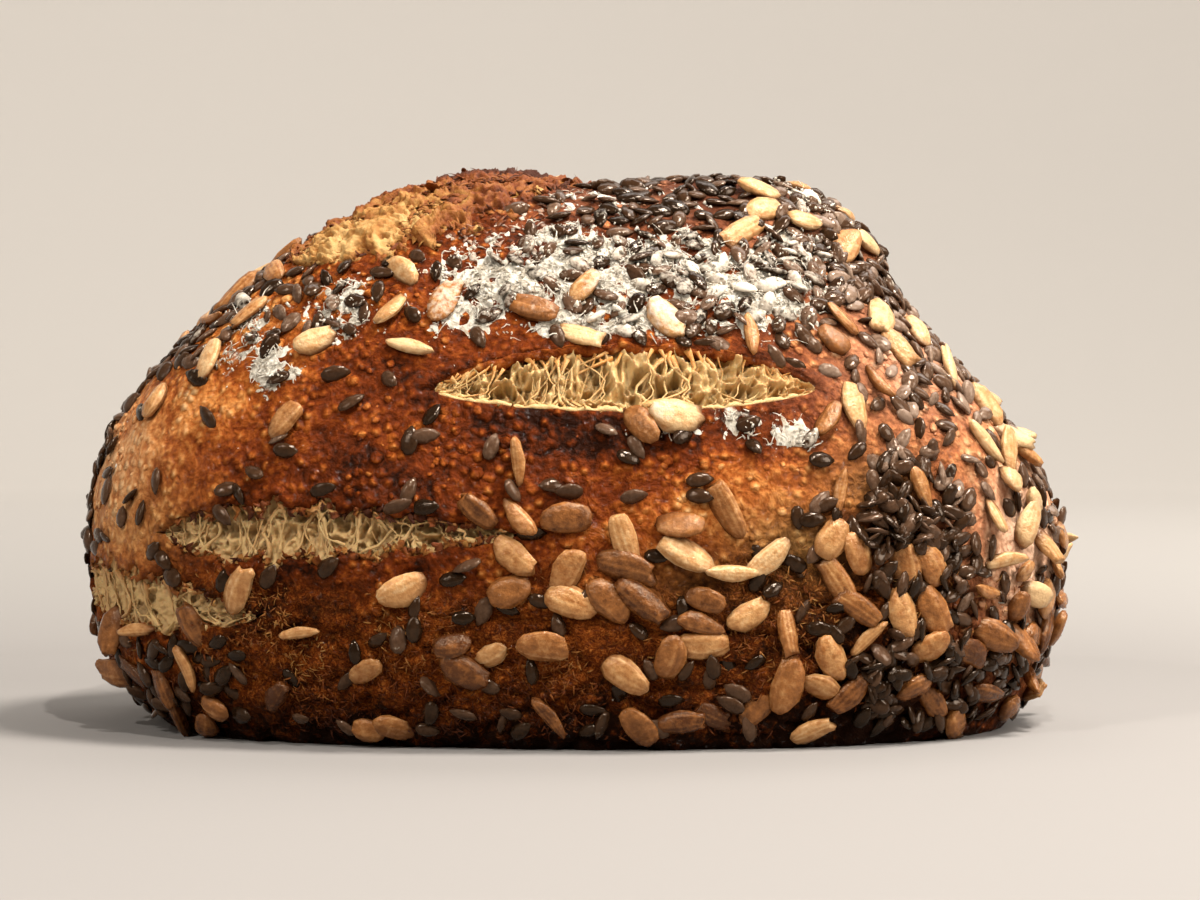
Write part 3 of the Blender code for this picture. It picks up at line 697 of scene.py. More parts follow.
def crust_material():
    shader = Shader("rye_crust")
    fine = shader.noise(0.0011, 4.0, 0.6)
    middle = shader.noise(0.0042, 6.0, 0.62, 0.5)
    pebbles = shader.maths("SUBTRACT", 0.50, shader.dots(0.0023))
    pebbles = shader.maths("MAXIMUM", pebbles, 0.0)
    crowded = shader.ramp(shader.add(shader.noise(0.009, 2.0), 0.5), (0.38, 0.15), (0.60, 1.0))
    pebbles = shader.times(pebbles, crowded)
    # The colour is paler on the bump's raised pebbles and darker where the middle and fine noise lower the
    # bump: partly the crust's own mottling, partly painted highlight and painted shade.
    depth = shader.varied(
        shader.value("bake_and_light"), (0.50, shader.noise(0.016, 3.0)), (0.90, middle), (0.70, fine),
        (-0.95, pebbles), (-0.30, shader.value("blister")),
    )
    depth = shader.add(depth, 0.10)
    colour = shader.ramp(
        depth, (0.0, (0.68, 0.37, 0.15)), (0.24, (0.52, 0.195, 0.046)), (0.46, (0.29, 0.070, 0.010)),
        (0.68, (0.128, 0.022, 0.003)), (1.0, (0.017, 0.004, 0.001)),
    )
    tan = shader.ramp(
        depth, (0.0, (0.76, 0.48, 0.32)), (0.4, (0.48, 0.215, 0.115)), (0.9, (0.120, 0.038, 0.018))
    )
    colour = shader.mix(shader.value("pink"), colour, tan)
    olive = shader.ramp(
        depth, (0.0, (0.64, 0.43, 0.18)), (0.5, (0.34, 0.185, 0.056)), (0.95, (0.07, 0.030, 0.009))
    )
    colour = shader.mix(shader.value("olive"), colour, olive)

    fibre = shader.value("fibre")
    threads = shader.noise(0.0011, 5.0, 0.6, 2.2)
    straw = shader.ramp(
        shader.add(threads, 0.5), (0.34, (0.032, 0.006, 0.001)), (0.48, (0.16, 0.030, 0.003)),
        (0.60, (0.37, 0.098, 0.014)), (0.74, (0.60, 0.24, 0.050)),
    )
    scorched = shader.mix(shader.ramp(depth, (0.55, 0.0), (1.05, 1.0)), straw, (0.018, 0.006, 0.002))
    colour = shader.mix(shader.times(fibre, 0.75), colour, scorched)

    powder = shader.varied(shader.value("flour"), (1.3, shader.noise(0.0009, 3.0)))
    powder = shader.ramp(powder, (0.10, 0.0), (0.65, 1.0))
    colour = shader.mix(powder, colour, FLOUR_WHITE)

    gloss = shader.ramp(shader.add(shader.noise(0.004, 3.0), 0.5), (0.35, 0.34), (0.65, 0.52))
    dull = shader.mix(fibre, gloss, (0.60, 0.60, 0.60))
    dull = shader.mix(powder, dull, MATT)
    wet = shader.ramp(shader.add(shader.noise(0.0010, 3.0, 0.6), 0.5), (0.57, 0.0), (0.67, 0.75))
    coat = shader.times(shader.maths("SUBTRACT", 1.0, powder), wet)

    grain = shader.noise(0.00055, 5.0, 0.65)
    grain = shader.varied(0.0, (0.7, grain), (3.2, pebbles), (-1.3, fine), (-2.2, middle))
    grain = shader.add(grain, shader.times(shader.times(threads, fibre), 1.8))
    normal = shader.bump(grain, 1.0, 0.0009)
    shader.set(Base_Color=colour, Roughness=dull, Normal=normal, Coat_Weight=coat, Coat_Normal=normal)
    return shader.set(Coat_Roughness=0.12, Specular_IOR_Level=0.03)


def crumb_material(name, crest, hollow, amber, roughness):
    """Crumb: its crests in their own colour and its hollows darkened as painted shade, toasted amber where
    the toast value is high.
    """
    shader = Shader(name)
    pit_shade = shader.varied(shader.value("pit_shade"), (0.5, shader.noise(0.0018, 4.0)))
    between = tuple((a + b) / 2.0 for a, b in zip(crest, hollow))
    colour = shader.ramp(pit_shade, (0.0, crest), (0.55, between), (1.0, hollow))
    toast = shader.varied(shader.value("toast"), (0.5, shader.noise(0.003, 4.0)))
    colour = shader.mix(shader.ramp(toast, (0.15, 0.0), (0.9, 1.0)), colour, amber)
    normal = shader.bump(shader.noise(0.0006, 5.0, 0.6, 0.6), 0.6, 0.0005)
    shader.set(Base_Color=colour, Roughness=roughness, Normal=normal)
    return shader.set(Subsurface_Weight=0.10, Subsurface_Scale=0.002, Specular_IOR_Level=0.35)


def torn_material():
    """Torn crust: pale gold in the hollows, orange and brown on the crests that the oven caught."""
    shader = Shader("torn_crust")
    toast = shader.varied(
        shader.value("toast"), (0.7, shader.noise(0.0030, 5.0, 0.6)), (0.35, shader.noise(0.0009, 3.0))
    )
    colour = shader.ramp(
        toast, (0.0, (0.47, 0.280, 0.100)), (0.26, (0.33, 0.152, 0.036)), (0.50, (0.23, 0.074, 0.013)),
        (0.74, (0.155, 0.036, 0.006)), (1.0, (0.050, 0.011, 0.002)),
    )
    dust = shader.varied(shader.value("dust"), (0.8, shader.noise(0.0010, 3.0)))
    colour = shader.mix(shader.ramp(dust, (0.30, 0.0), (0.95, 0.85)), colour, FLOUR_WHITE)
    normal = shader.bump(shader.noise(0.0006, 5.0, 0.65), 0.8, 0.0005)
    shader.set(Base_Color=colour, Normal=normal, Roughness=0.50)
    return shader.set(Specular_IOR_Level=0.15)


def powdered(shader, colour, size):
    """The colour with flour over it, as thick as the flour value, and how much of it is flour."""
    film = shader.varied(shader.value("flour"), (1.4, shader.noise(size, 3.0)))
    film = shader.ramp(film, (0.12, 0.0), (0.80, 0.94))
    return shader.mix(film, colour, FLOUR_WHITE), film


def kernel_material():
    shader = Shader("sunflower_kernel")
    mixed = shader.varied(
        shader.value("tint"), (1.05, shader.noise(0.0017, 5.0, 0.65, 0.3)), (-0.24, shader.value("ridge"))
    )
    colour = shader.ramp(
        mixed, (0.0, (0.58, 0.37, 0.18)), (0.26, (0.45, 0.225, 0.082)), (0.58, (0.26, 0.094, 0.024)),
        (1.0, (0.065, 0.018, 0.004)),
    )
    # Darker at the pointed tip, the kernel's own colour, and painted shade low on the kernel where it meets
    # the crust.
    colour = shader.mix(shader.value("tip"), colour, (0.085, 0.026, 0.007))
    colour, film = powdered(shader, colour, 0.0012)
    dull = shader.mix(film, (0.24, 0.24, 0.24), MATT)
    normal = shader.bump(shader.noise(0.0011, 4.0, 0.6), 0.7, 0.0005)
    shader.set(Base_Color=colour, Roughness=dull, Normal=normal)
    return shader.set(Specular_IOR_Level=0.42, Specular_Tint=(1.0, 0.80, 0.58))


def linseed_material():
    shader = Shader("linseed")
    mixed = shader.varied(shader.value("tint"), (0.7, shader.noise(0.0009, 4.0, 0.6)))
    colour = shader.ramp(
        mixed, (0.0, (0.011, 0.005, 0.002)), (0.40, (0.036, 0.016, 0.007)), (0.74, (0.082, 0.042, 0.023)),
        (1.0, (0.20, 0.130, 0.088)),
    )
    colour, film = powdered(shader, colour, 0.0010)
    dull = shader.mix(film, (0.14, 0.14, 0.14), MATT)
    normal = shader.bump(shader.noise(0.0007, 3.0, 0.5), 0.45, 0.0002)
    shader.set(Base_Color=colour, Roughness=dull, Normal=normal)
    return shader.set(Specular_IOR_Level=0.26, Specular_Tint=(1.0, 0.78, 0.60))


def flour_material():
    shader = Shader("flour")
    shade = shader.add(shader.noise(0.0014, 5.0, 0.65), 0.5)
    colour = shader.ramp(
        shade, (0.30, (0.42, 0.32, 0.215)), (0.46, (0.68, 0.60, 0.475)), (0.64, (0.88, 0.81, 0.69))
    )
    normal = shader.bump(shader.noise(0.0006, 6.0, 0.75), 1.0, 0.0008)
    shader.set(Base_Color=colour, Normal=normal, Roughness=0.95)
    return shader.set(Specular_IOR_Level=0.2)


def stage_material(near, far):
    """One even colour under the loaf, turning into the other behind it and on the wall all round: painted
    shade near and in front of the loaf, where the lamps are strong, and painted light far off, where they are
    weak, so that the stage looks evenly lit.
    """
    shader = Shader("pale_stage")
    split = shader.tree.nodes.new("ShaderNodeSeparateXYZ")
    shader.link(shader.place, split.inputs[0])
    x, y = split.outputs["X"], split.outputs["Y"]
    flat = shader.maths("SQRT", shader.add(shader.times(x, x), shader.times(y, y)), 0.0)
    before = shader.maths("DIVIDE", y, -STAGE_FRONT, clamp=True)
    away = shader.maths("SUBTRACT", flat, shader.add(shader.times(before, STAGE_DELAY), STAGE_START))
    away = shader.maths("DIVIDE", away, STAGE_REACH)
    return shader.set(Base_Color=shader.ramp(away, (0.0, near), (1.0, far)), Roughness=0.9)


# ---- The pieces ----

CRUST_SQUARES = 111
FRONT_CROWDING = (0.0, -0.34, 0.16)  # moves the crust's mesh to the front and crown, so it is finer there
POCKET_SPARE = 0.0030  # the crust passes this far under the crumb of each opening
EDGE_SNAP = 0.0007
OPENING_SPAN = 0.06
# How many points are thrown on the skin for each kind of fine form, and how many of them it keeps.
BLISTERS_THROWN, BLISTERS = 90000, 800
FIBRES_THROWN, FIBRES = 240000, 6000
HEAPED_THROWN, HEAPED = 60000, 230
GRAINS_THROWN, GRAINS = 150000, 2800
FLUFF_THROWN, FLUFF = 90000, 2600
SHREDS, SHREDS_BESIDE, LEAVES = 2200, 500, 260
SHRED_SEED, LEAF_SEED, FIBRE_SEED, GRAIN_SEED, FLUFF_SEED, BLISTER_SEED = 21, 23, 31, 41, 43, 51
LOWEST_BLISTER, LOWEST_FIBRE, HIGHEST_FIBRE = 0.012, 0.003, ROUGH_TOP + 0.012
BURIED_SEED, GRAINS_A_SEED = 0.45, 4  # seeds under this much flour carry grains of it
ON_A_SEED = 0.0013
KERNEL_KINDS, LINSEED_KINDS = 14, 9


def rounded(x, power=4):
    """1 in the middle of the way from -1 to 1, and 0 at its ends."""
    return np.clip(1.0 - x**power, 0.0, 1.0)


def swirl(points, size, salt):
    """Noise along each of the three axes."""
    return np.column_stack([noise(points, size, salt + k) for k in range(3)])


def crust_values(points):
    """What the crust's material reads at these points of the skin."""
    # How dark the crust is baked, with the pale patches at the right end partly painted light.
    bake_and_light = BAKE_LEVEL + amount(DARK_PATCHES, points) - amount(PALE_PATCHES, points)
    # The crust grows darker towards the bottom of the loaf.
    bake_and_light += 0.45 * smoothstep((DARK_BASE_TOP - points[:, 2]) / 0.018)
    return {
        "bake_and_light": bake_and_light,
        "blister": blisters(points) * (1.0 - fibrous(points)),
        "fibre": fibrous(points),
        "flour": floured(points),
        "pink": amount(PINK_PATCHES, points),
        "olive": amount(OLIVE_PATCHES, points),
    }


def crust_piece(material):
    directions, faces = ball(CRUST_SQUARES)
    crowded = unit(directions + np.array(FRONT_CROWDING)) * (LEFT_REACH, FRONT_REACH, CROWN_REACH)
    points = skin(unit(crowded))
    normals = outward(points)
    height = relief(points)
    lip = np.zeros(len(points))
    for opening in OPENINGS:
        s = np.linspace(-1.0, 1.0, 240)
        line, upward = spine(opening, s)
        close = np.where(((points - line.mean(axis=0)) ** 2).sum(axis=1) < OPENING_SPAN**2)[0]
        gap = points[close][:, None, :] - line[None, :, :]
        nearest = (gap**2).sum(axis=2).argmin(axis=1)
        gap = gap[np.arange(len(close)), nearest]
        rise = (gap * upward[nearest]).sum(axis=1)
        astray = np.sqrt(np.maximum((gap**2).sum(axis=1) - rise**2, 0.0))
        width = np.where(rise > 0, opening.upper, opening.lower) * lens(opening, s[nearest])
        beyond = np.abs(rise) - width
        within = (np.abs(rise) < width) & (astray < 0.002)
        rim = (np.abs(rise) >= width) & (np.abs(rise) < width + EDGE_SNAP) & (astray < 0.002)
        edge, _, _ = across_opening(opening, s[nearest][rim], np.sign(rise[rim]))
        points[close[rim]] = edge
        deep = opening.depth * rounded(s[nearest]) ** 0.5 + POCKET_SPARE
        height[close[within]] = -deep[within]
        curl = np.exp(-(((beyond - 0.0012) / 0.0014) ** 2)) * (astray < 0.004)
        lip[close] = np.maximum(lip[close], np.where(within, 0.0, curl))
    height += 0.0004 * lip
    points = points + normals * height[:, None]
    values = crust_values(points)
    values["bake_and_light"] = values["bake_and_light"] + 0.10 * lip
    piece = make_piece("loaf_crust", "crust", points, faces, material, values)
    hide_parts("loaf")


def blister_piece(material):
    """Small bubbles that the oven raised on the smooth crust, each a low pale dome."""
    draws = np.random.default_rng(BLISTER_SEED)
    points = thrown(BLISTERS_THROWN, draws)
    front = smoothstep((0.02 - points[:, 1]) / 0.05)
    crowded = smoothstep(0.5 + 1.4 * noise(points, 0.012, 810)) * (0.35 + 0.65 * front)
    bare = (1.0 - fibrous(points)) * (floured(points) < -0.2)
    keep = (draws.random(len(points)) < 0.09 * crowded * bare) & (points[:, 2] > LOWEST_BLISTER)
    points = points[keep & ~opened(points)][:BLISTERS]
    count = len(points)
    girth = draws.gamma(3.0, 0.00022, count).clip(0.0003, 0.0014)
    normals = outward(points)
    turns = draws.uniform(-math.pi, math.pi, count)
    still = np.zeros(count)
    poses = seed_poses(normals, turns, still + math.pi / 2.0, still)
    shape, faces = turned(((-0.15, 1.06), (0.16, 0.92), (0.36, 0.56), (0.43, 0.14)), 8)
    centres = points + normals * relief(points)[:, None]
    domes, faces = copies(shape, faces, poses, centres, girth)
    domes = domes.reshape(-1, 3)
    domes += 0.00022 * swirl(domes, 0.0011, 820)
    values = {key: value.repeat(len(shape)) for key, value in crust_values(points).items()}
    top = np.tile(smoothstep((shape[:, 0] + 0.05) / 0.5), count)
    values["blister"] = top * draws.uniform(0.35, 1.25, count).repeat(len(shape)) - 0.35 * (1.0 - top)
    make_piece("crust_blisters", "crust", domes, faces, material, values)


def crumb_piece(name, material, opening, rows, columns, cell, pit_depth, fine, salt, share):
    """The crumb that lines an opening: cells of three sizes between thin walls, its edges under the crust."""
    s, t = pairs(np.linspace(-1.0, 1.0, rows), np.linspace(-1.1, 1.1, columns))
    points, normals, upward = across_opening(opening, s, t)
    half = np.linalg.norm(np.subtract(opening.end, opening.start)) / 2.0
    level = np.zeros(len(s))
    flat = np.column_stack([s * half, t * (opening.upper + opening.lower) / 2.0, level])
    warp = np.column_stack([noise(flat, 0.004, salt), noise(flat, 0.004, salt + 1), level])
    warp += 0.4 * np.column_stack([noise(flat, 0.0014, salt + 2), noise(flat, 0.0014, salt + 3), level])
    pits, walls = [], []
    for k, size in enumerate((cell, (cell[0] * 0.42, cell[1] * 0.40), (fine, fine * 1.5))):
        nearest, second, number = cells(flat + 0.24 * size[0] * warp, (*size, 1.0), salt + 10 * (k + 1))
        gap = second - nearest
        pits.append(smoothstep(gap / 0.5) * (0.4 + 0.6 * number))
        walls.append(np.exp(-((gap / 0.11) ** 2)))
    room = rounded(t) * rounded(s) ** 0.5
    depth = opening.depth * share * room + pit_depth * room * (0.62 * pits[0] + 0.30 * pits[1])
    depth += 0.10 * pit_depth * pits[2]
    depth -= pit_depth * room * (0.30 * walls[0] + 0.14 * walls[1]) + 0.05 * pit_depth * walls[2]
    depth += np.where(np.abs(t) > 1.0, 0.0012, 0.0) + 0.0004
    depth += 0.12 * pit_depth * rough_noise(flat, (0.0016, 0.0022, 1.0), 3, salt + 50)
    lift = opening.undercut * (0.5 + 0.5 * np.clip(t, -1.0, 1.0)) * room
    points = points - normals * depth[:, None] + upward * lift[:, None]
    # How dark the crumb is painted: painted shade in the pits, paler on the walls.
    pit_shade = 0.55 * pits[0] + 0.40 * pits[1] + 0.15 * pits[2] - 0.25 * walls[0] - 0.15 * walls[1]
    if opening is SLASH:
        toast = 0.75 * smoothstep((t - 0.35) / 0.6) + 0.35 * smoothstep((s - 0.35) / 0.6)
    else:
        toast = 0.5 * smoothstep((np.abs(t) - 0.6) / 0.4)
    make_piece(name, "crumb", points, sheet_faces(rows, columns), material, {"pit_shade": pit_shade, "toast": toast})


def web_piece(name, material, opening, salt, knots, count, radius, depth_share, fan, strays):
    """Webs of crumb drawn out across an opening: bunches with a narrow waist that fan out to both edges."""
    draws = np.random.default_rng(salt)
    stations, sides = 10, 6
    spots = np.linspace(-0.93, 0.93, knots) + draws.normal(0.0, 0.4 / knots, knots)
    waists = draws.uniform(0.32, 0.68, knots)
    leans = draws.normal(0.0, 0.5 / knots, knots)
    bunch = draws.integers(0, knots, count)
    loose = draws.random(count) < strays
    waist = waists[bunch][:, None]
    u = np.linspace(0.0, 1.0, stations)[None, :]
    spread = draws.normal(0.0, fan, (2, count)) * np.where(loose, 0.5, 1.0)
    above = np.clip((waist - u) / waist, 0.0, 1.0) ** 1.5
    below = np.clip((u - waist) / (1.0 - waist), 0.0, 1.0) ** 1.5
    middle = spots[bunch] + draws.normal(0.0, 0.10 / knots, count)
    middle = np.where(loose, draws.uniform(-0.95, 0.95, count), middle)[:, None]
    line = middle + leans[bunch][:, None] * (u - 0.5)
    line = line + spread[0][:, None] * above + spread[1][:, None] * below
    bends = 0.26 / knots * draws.normal(size=(count, 1))
    line += bends * np.sin(math.pi * u * draws.uniform(1.0, 3.0, count)[:, None])
    line += 0.07 / knots * draws.normal(size=line.shape)
    line = np.clip(line, -0.97, 0.97)
    high = draws.uniform(0.75, 1.02, count)[:, None]
    low = draws.uniform(-1.02, -0.60, count)[:, None]
    t = high + (low - high) * u
    places, normals, _ = across_opening(opening, line.ravel(), t.ravel())
    room = rounded(t.ravel()) * rounded(line.ravel()) ** 0.5
    sag = draws.uniform(0.10, 0.75, count)[:, None] * (0.55 + 0.45 * np.sin(math.pi * u))
    places = places - normals * ((opening.depth * depth_share * room * sag.ravel()) + 0.0003)[:, None]
    ends = np.maximum(above, below) ** 2
    radii = radius * draws.uniform(0.35, 1.30, count)[:, None] * (0.75 + 1.1 * ends)
    radii = uneven(radii * np.where(loose, 0.55, 1.0)[:, None], 0.28, draws)
    across = unit(np.array([[1.0, 0.0, 0.0]]) + draws.normal(0.0, 0.5, (count, 3)))
    points, faces = tubes(places.reshape(count, stations, 3), radii, sides, across, 0.5)
    toast = 0.10 + 0.70 * smoothstep((t - 0.40) / 0.6) + draws.uniform(0.0, 0.35, count)[:, None]
    values = {"pit_shade": np.zeros(len(points)), "toast": np.repeat(toast.ravel(), sides)}
    make_piece(name, "crumb", points, faces, material, values)


def slash_tube(s, t, lumps, size, salt, taper, sunk, shift, width, sides, across, flatness):
    """A ragged tube along the slash, at t across it.

    Its radius varies by the share lumps, in lumps of this size. It is sunk this far into the crust and moved
    this far upwards along it.
    """
    path, normals, upward = across_opening(SLASH, s, np.full(len(s), t))
    ragged = 1.0 + lumps * rough_noise(path, size, 3, salt)
    path = path + normals * (relief(path) - sunk)[:, None] + upward * (shift * ragged * taper)[:, None]
    radii = width * ragged * taper + 0.0001
    return tubes(path[None], radii[None], sides, np.array([across]), flatness)


def lip_piece(material):
    """The cut edge of the crust along the top of the slash."""
    s = np.linspace(-0.96, 0.98, 170)
    points, faces = slash_tube(
        s, 1.04, 0.5, 0.0040, 600, rounded(s) ** 0.5, 0.0006, -0.0004, 0.0011, 8, (0.0, -0.6, 1.0), 0.6
    )
    values = crust_values(points)
    values["bake_and_light"] = np.full(len(points), 0.50)
    make_piece("slash_rim", "crust", points, faces, material, values)


def pale_edge(material):
    """The thin pale edge of the crumb along the bottom of the slash."""
    s = np.linspace(-0.98, 0.90, 200)
    points, faces = slash_tube(
        s, -1.0, 1.3, 0.0016, 605, 1.0, 0.0001, 0.0003, 0.00036, 6, (0.0, 0.3, 1.0), 0.8
    )
    values = {"pit_shade": np.zeros(len(points)), "toast": np.full(len(points), -0.2)}
    make_piece("slash_edge", "crumb", points, faces, material, values)


def tangents(normals, draws):
    """A random direction along the skin for each of these normals."""
    turn = draws.uniform(-math.pi, math.pi, len(normals))
    level = unit(np.cross(normals, (0.0, 1.0, 0.13)))
    other = np.cross(normals, level)
    return level * np.cos(turn)[:, None] + other * np.sin(turn)[:, None]


def flake_piece(name, material, salt, rims):
    """Flakes that the tearing left standing along the openings' edges, thin, curled and no two alike.

    Each rim gives the opening, the side, the stretch along it, how many flakes, their length and half width,
    how far they lean over the opening (1) or away from it (-1), and how dark they are.
    """
    draws = np.random.default_rng(salt)
    stations, sides = 6, 6
    u = np.linspace(0.0, 1.0, stations)
    parts, toasts = [], []
    for opening, side, first, last, count, length, width, lean, toast in rims:
        s = draws.uniform(first, last, count)
        t = side * (1.03 - 0.03 * lean + draws.normal(0.0, 0.05, count))
        starts, normals, upward = across_opening(opening, s, t)
        run = np.cross(normals, upward)
        turn = draws.normal(0.0, 0.75, count)
        along = -side * lean * upward * np.cos(turn)[:, None] + run * np.sin(turn)[:, None]
        starts = starts + normals * (relief(starts) - 0.0004)[:, None]
        lengths = length * draws.uniform(0.5, 1.4, count)
        parts.append(curled_tubes(
            draws, starts, along, normals, lengths, (0.0, 0.55), (-1.6, 0.9), (0.5, 1.5),
            (1.05 - u**1.5) ** 0.7, sides, 0.20, scale=width, shake=0.00025, share=0.25,
        ))
        shade = toast + draws.normal(0.0, 0.26, count)[:, None] + 0.12 * u[None, :]
        toasts.append(shade.ravel().repeat(sides))
    make_piece(name, "crust", *joined(parts), material, {"toast": np.concatenate(toasts)})


def towards_crown(s):
    """How far the bloom browns towards its right end, at s along it."""
    return smoothstep((s + 0.35) / 0.8)


def towards_top(t):
    """How far the bloom browns towards its upper edge, at t across it."""
    return smoothstep((t + 0.05) / 0.9)


def bloom_piece(material):
    rows, columns = 200, 100
    s, t = pairs(np.linspace(-1.0, 1.0, rows), np.linspace(-1.08, 1.08, columns))
    points, normals, _ = across_opening(BLOOM, s, t)
    room = rounded(t, 6) * rounded(s, 6) ** 0.5
    warp = points + 0.0018 * swirl(points, 0.004, 500)
    ridges = 1.0 - 2.6 * np.abs(rough_noise(warp, 0.0070, 3, 510))
    curls = 1.0 - 2.8 * np.abs(rough_noise(warp, 0.0026, 3, 520))
    strings = 1.0 - 2.6 * np.abs(rough_noise(warp, 0.0013, 2, 540))
    height = -0.0003 * room + 0.0015 * ridges + 0.0010 * curls + 0.0005 * strings
    height += 0.0016 * rough_noise(points, 0.014, 2, 530)
    sunk = 0.0012 * smoothstep((np.abs(t) - 0.75) / 0.25)
    height += np.where(np.abs(t) > 1.0, -0.0030, 0.0) - 0.0004 - sunk
    points = points + normals * height[:, None]
    rise = 0.5 + 0.5 * ridges
    toast = 0.03 + 0.44 * rise + 0.40 * towards_crown(s) + 0.46 * towards_top(t)
    toast += 0.20 * smoothstep((-t - 0.75) / 0.25) - 0.16 * smoothstep((-s - 0.30) / 0.5)
    toast += 0.05 - 0.16 * curls - 0.12 * strings
    make_piece("bloom_crumb", "crumb", points, sheet_faces(rows, columns), material, {"toast": toast})


def bloom_shreds(material):
    """Shreds of crumb that the tear left standing on the bloom, and dusty shreds of crust beside it."""
    draws = np.random.default_rng(SHRED_SEED)
    count, beside, stations, sides = SHREDS, SHREDS_BESIDE, 5, 4
    s = draws.uniform(-0.97, 0.97, count)
    t = draws.uniform(-1.0, 1.0, count)
    s[:beside] = draws.uniform(-0.15, 1.0, beside)
    t[:beside] = -1.0 - np.abs(draws.normal(0.0, 0.5, beside))
    torn, normals, _ = across_opening(BLOOM, s, t)
    aside = np.arange(count) < beside
    starts = torn + normals * np.where(aside, relief(torn) - 0.0002, 0.0002)[:, None]
    along = tangents(normals, draws)
    u = np.linspace(0.0, 1.0, stations)
    points, faces = curled_tubes(
        draws, starts, along, normals, draws.uniform(0.0012, 0.0030, count), (0.2, 0.9), (-2.4, -0.6),
        (0.00022, 0.00078), np.sqrt(1.02 - u), sides, 0.32, share=0.30,
    )
    toast = 0.10 + 0.40 * towards_crown(s) + 0.42 * towards_top(t) + 0.40 * draws.random(count)
    toast = np.where(aside, 0.55 + 0.35 * draws.random(count), toast)
    toast = (toast[:, None] + 0.14 * u[None, :]).ravel().repeat(sides)
    dust = np.where(aside, draws.uniform(0.1, 0.8, count), 0.0).repeat(stations * sides)
    make_piece("bloom_shreds", "crumb", points, faces, material, {"toast": toast, "dust": dust})


def bloom_leaves(material):
    """Thin curled leaves of crust, scorched at their edges, along the bloom's far rim and over its crown."""
    draws = np.random.default_rng(LEAF_SEED)
    rim, crown, stations, sides = LEAVES // 2, LEAVES - LEAVES // 2, 7, 6
    s = np.concatenate([draws.uniform(-0.95, 0.95, rim), draws.uniform(0.0, 0.95, crown)])
    t = np.concatenate([draws.uniform(0.45, 1.02, rim), draws.uniform(-0.9, 0.9, crown)])
    torn, normals, _ = across_opening(BLOOM, s, t)
    along = tangents(normals, draws)
    u = np.linspace(0.0, 1.0, stations)
    points, faces = curled_tubes(
        draws, torn - 0.0002 * normals, along, normals, draws.uniform(0.0018, 0.0044, LEAVES), (0.3, 1.1),
        (-2.6, -0.4), (0.0006, 0.0016), np.sqrt(np.sin(math.pi * (0.12 + 0.86 * u))), sides, 0.13, share=0.16,
    )
    toast = 0.30 + 0.30 * towards_crown(s) + 0.25 * draws.random(LEAVES)
    toast = (toast[:, None] + 0.30 * u[None, :] ** 2).ravel().repeat(sides)
    values = {"toast": toast, "dust": np.zeros(len(toast))}
    make_piece("bloom_leaves", "crumb", points, faces, material, values)


def fibre_piece(material):
    """Short curled fibres all over the torn crust low on the loaf."""
    draws = np.random.default_rng(FIBRE_SEED)
    stations, sides = 3, 4
    points = thrown(FIBRES_THROWN, draws)
    points = points[points[:, 2] < HIGHEST_FIBRE]
    tufted = smoothstep(0.70 + 1.5 * noise(points, 0.008, 830))
    keep = (draws.random(len(points)) < fibrous(points) * tufted) & (points[:, 2] > LOWEST_FIBRE)
    front = points[:, 1] < 0.0
    keep &= front | (draws.random(len(points)) < 0.3)
    points = points[keep & ~opened(points)][:FIBRES]
    count = len(points)
    normals = outward(points)
    starts = points + normals * (relief(points) - 0.0001)[:, None]
    along = tangents(normals, draws)
    u = np.linspace(0.0, 1.0, stations)
    mesh_points, faces = curled_tubes(
        draws, starts, along, normals, draws.uniform(0.0009, 0.0024, count), (0.5, 1.3), (-2.2, -0.7),
        (0.00010, 0.00025), np.sqrt(1.02 - u), sides, 0.6,
    )
    low = 0.40 * smoothstep((0.020 - points[:, 2]) / 0.016) + 0.18 * noise(points, 0.012, 831)
    toast = (0.30 + 0.42 * draws.random(count) + low)[:, None] - 0.20 * (u[None, :] - 0.5)
    make_piece("crust_fibres", "crust", mesh_points, faces, material, {"toast": toast.ravel().repeat(sides)})


def seed_poses(normals, turns, pitch, roll):
    """Rotations that lay seeds on the skin: the tip turned from +X, then pitched up, then rolled."""
    level = unit(np.array([1.0, 0.0, 0.0]) - normals * normals[:, :1])
    turns, pitch, roll = turns[:, None], pitch[:, None], roll[:, None]
    tip = level * np.cos(turns) + np.cross(normals, level) * np.sin(turns)
    side = np.cross(normals, tip)
    tip, up = tip * np.cos(pitch) + normals * np.sin(pitch), normals * np.cos(pitch) - tip * np.sin(pitch)
    side, up = side * np.cos(roll) + up * np.sin(roll), up * np.cos(roll) - side * np.sin(roll)
    return np.stack([tip, side, up], axis=2)


KERNEL_SIZE = (0.0098, 0.0052, 0.0030)
KERNEL_SIDES = 24
LINSEED_SIZE = (0.0050, 0.0028, 0.0015)


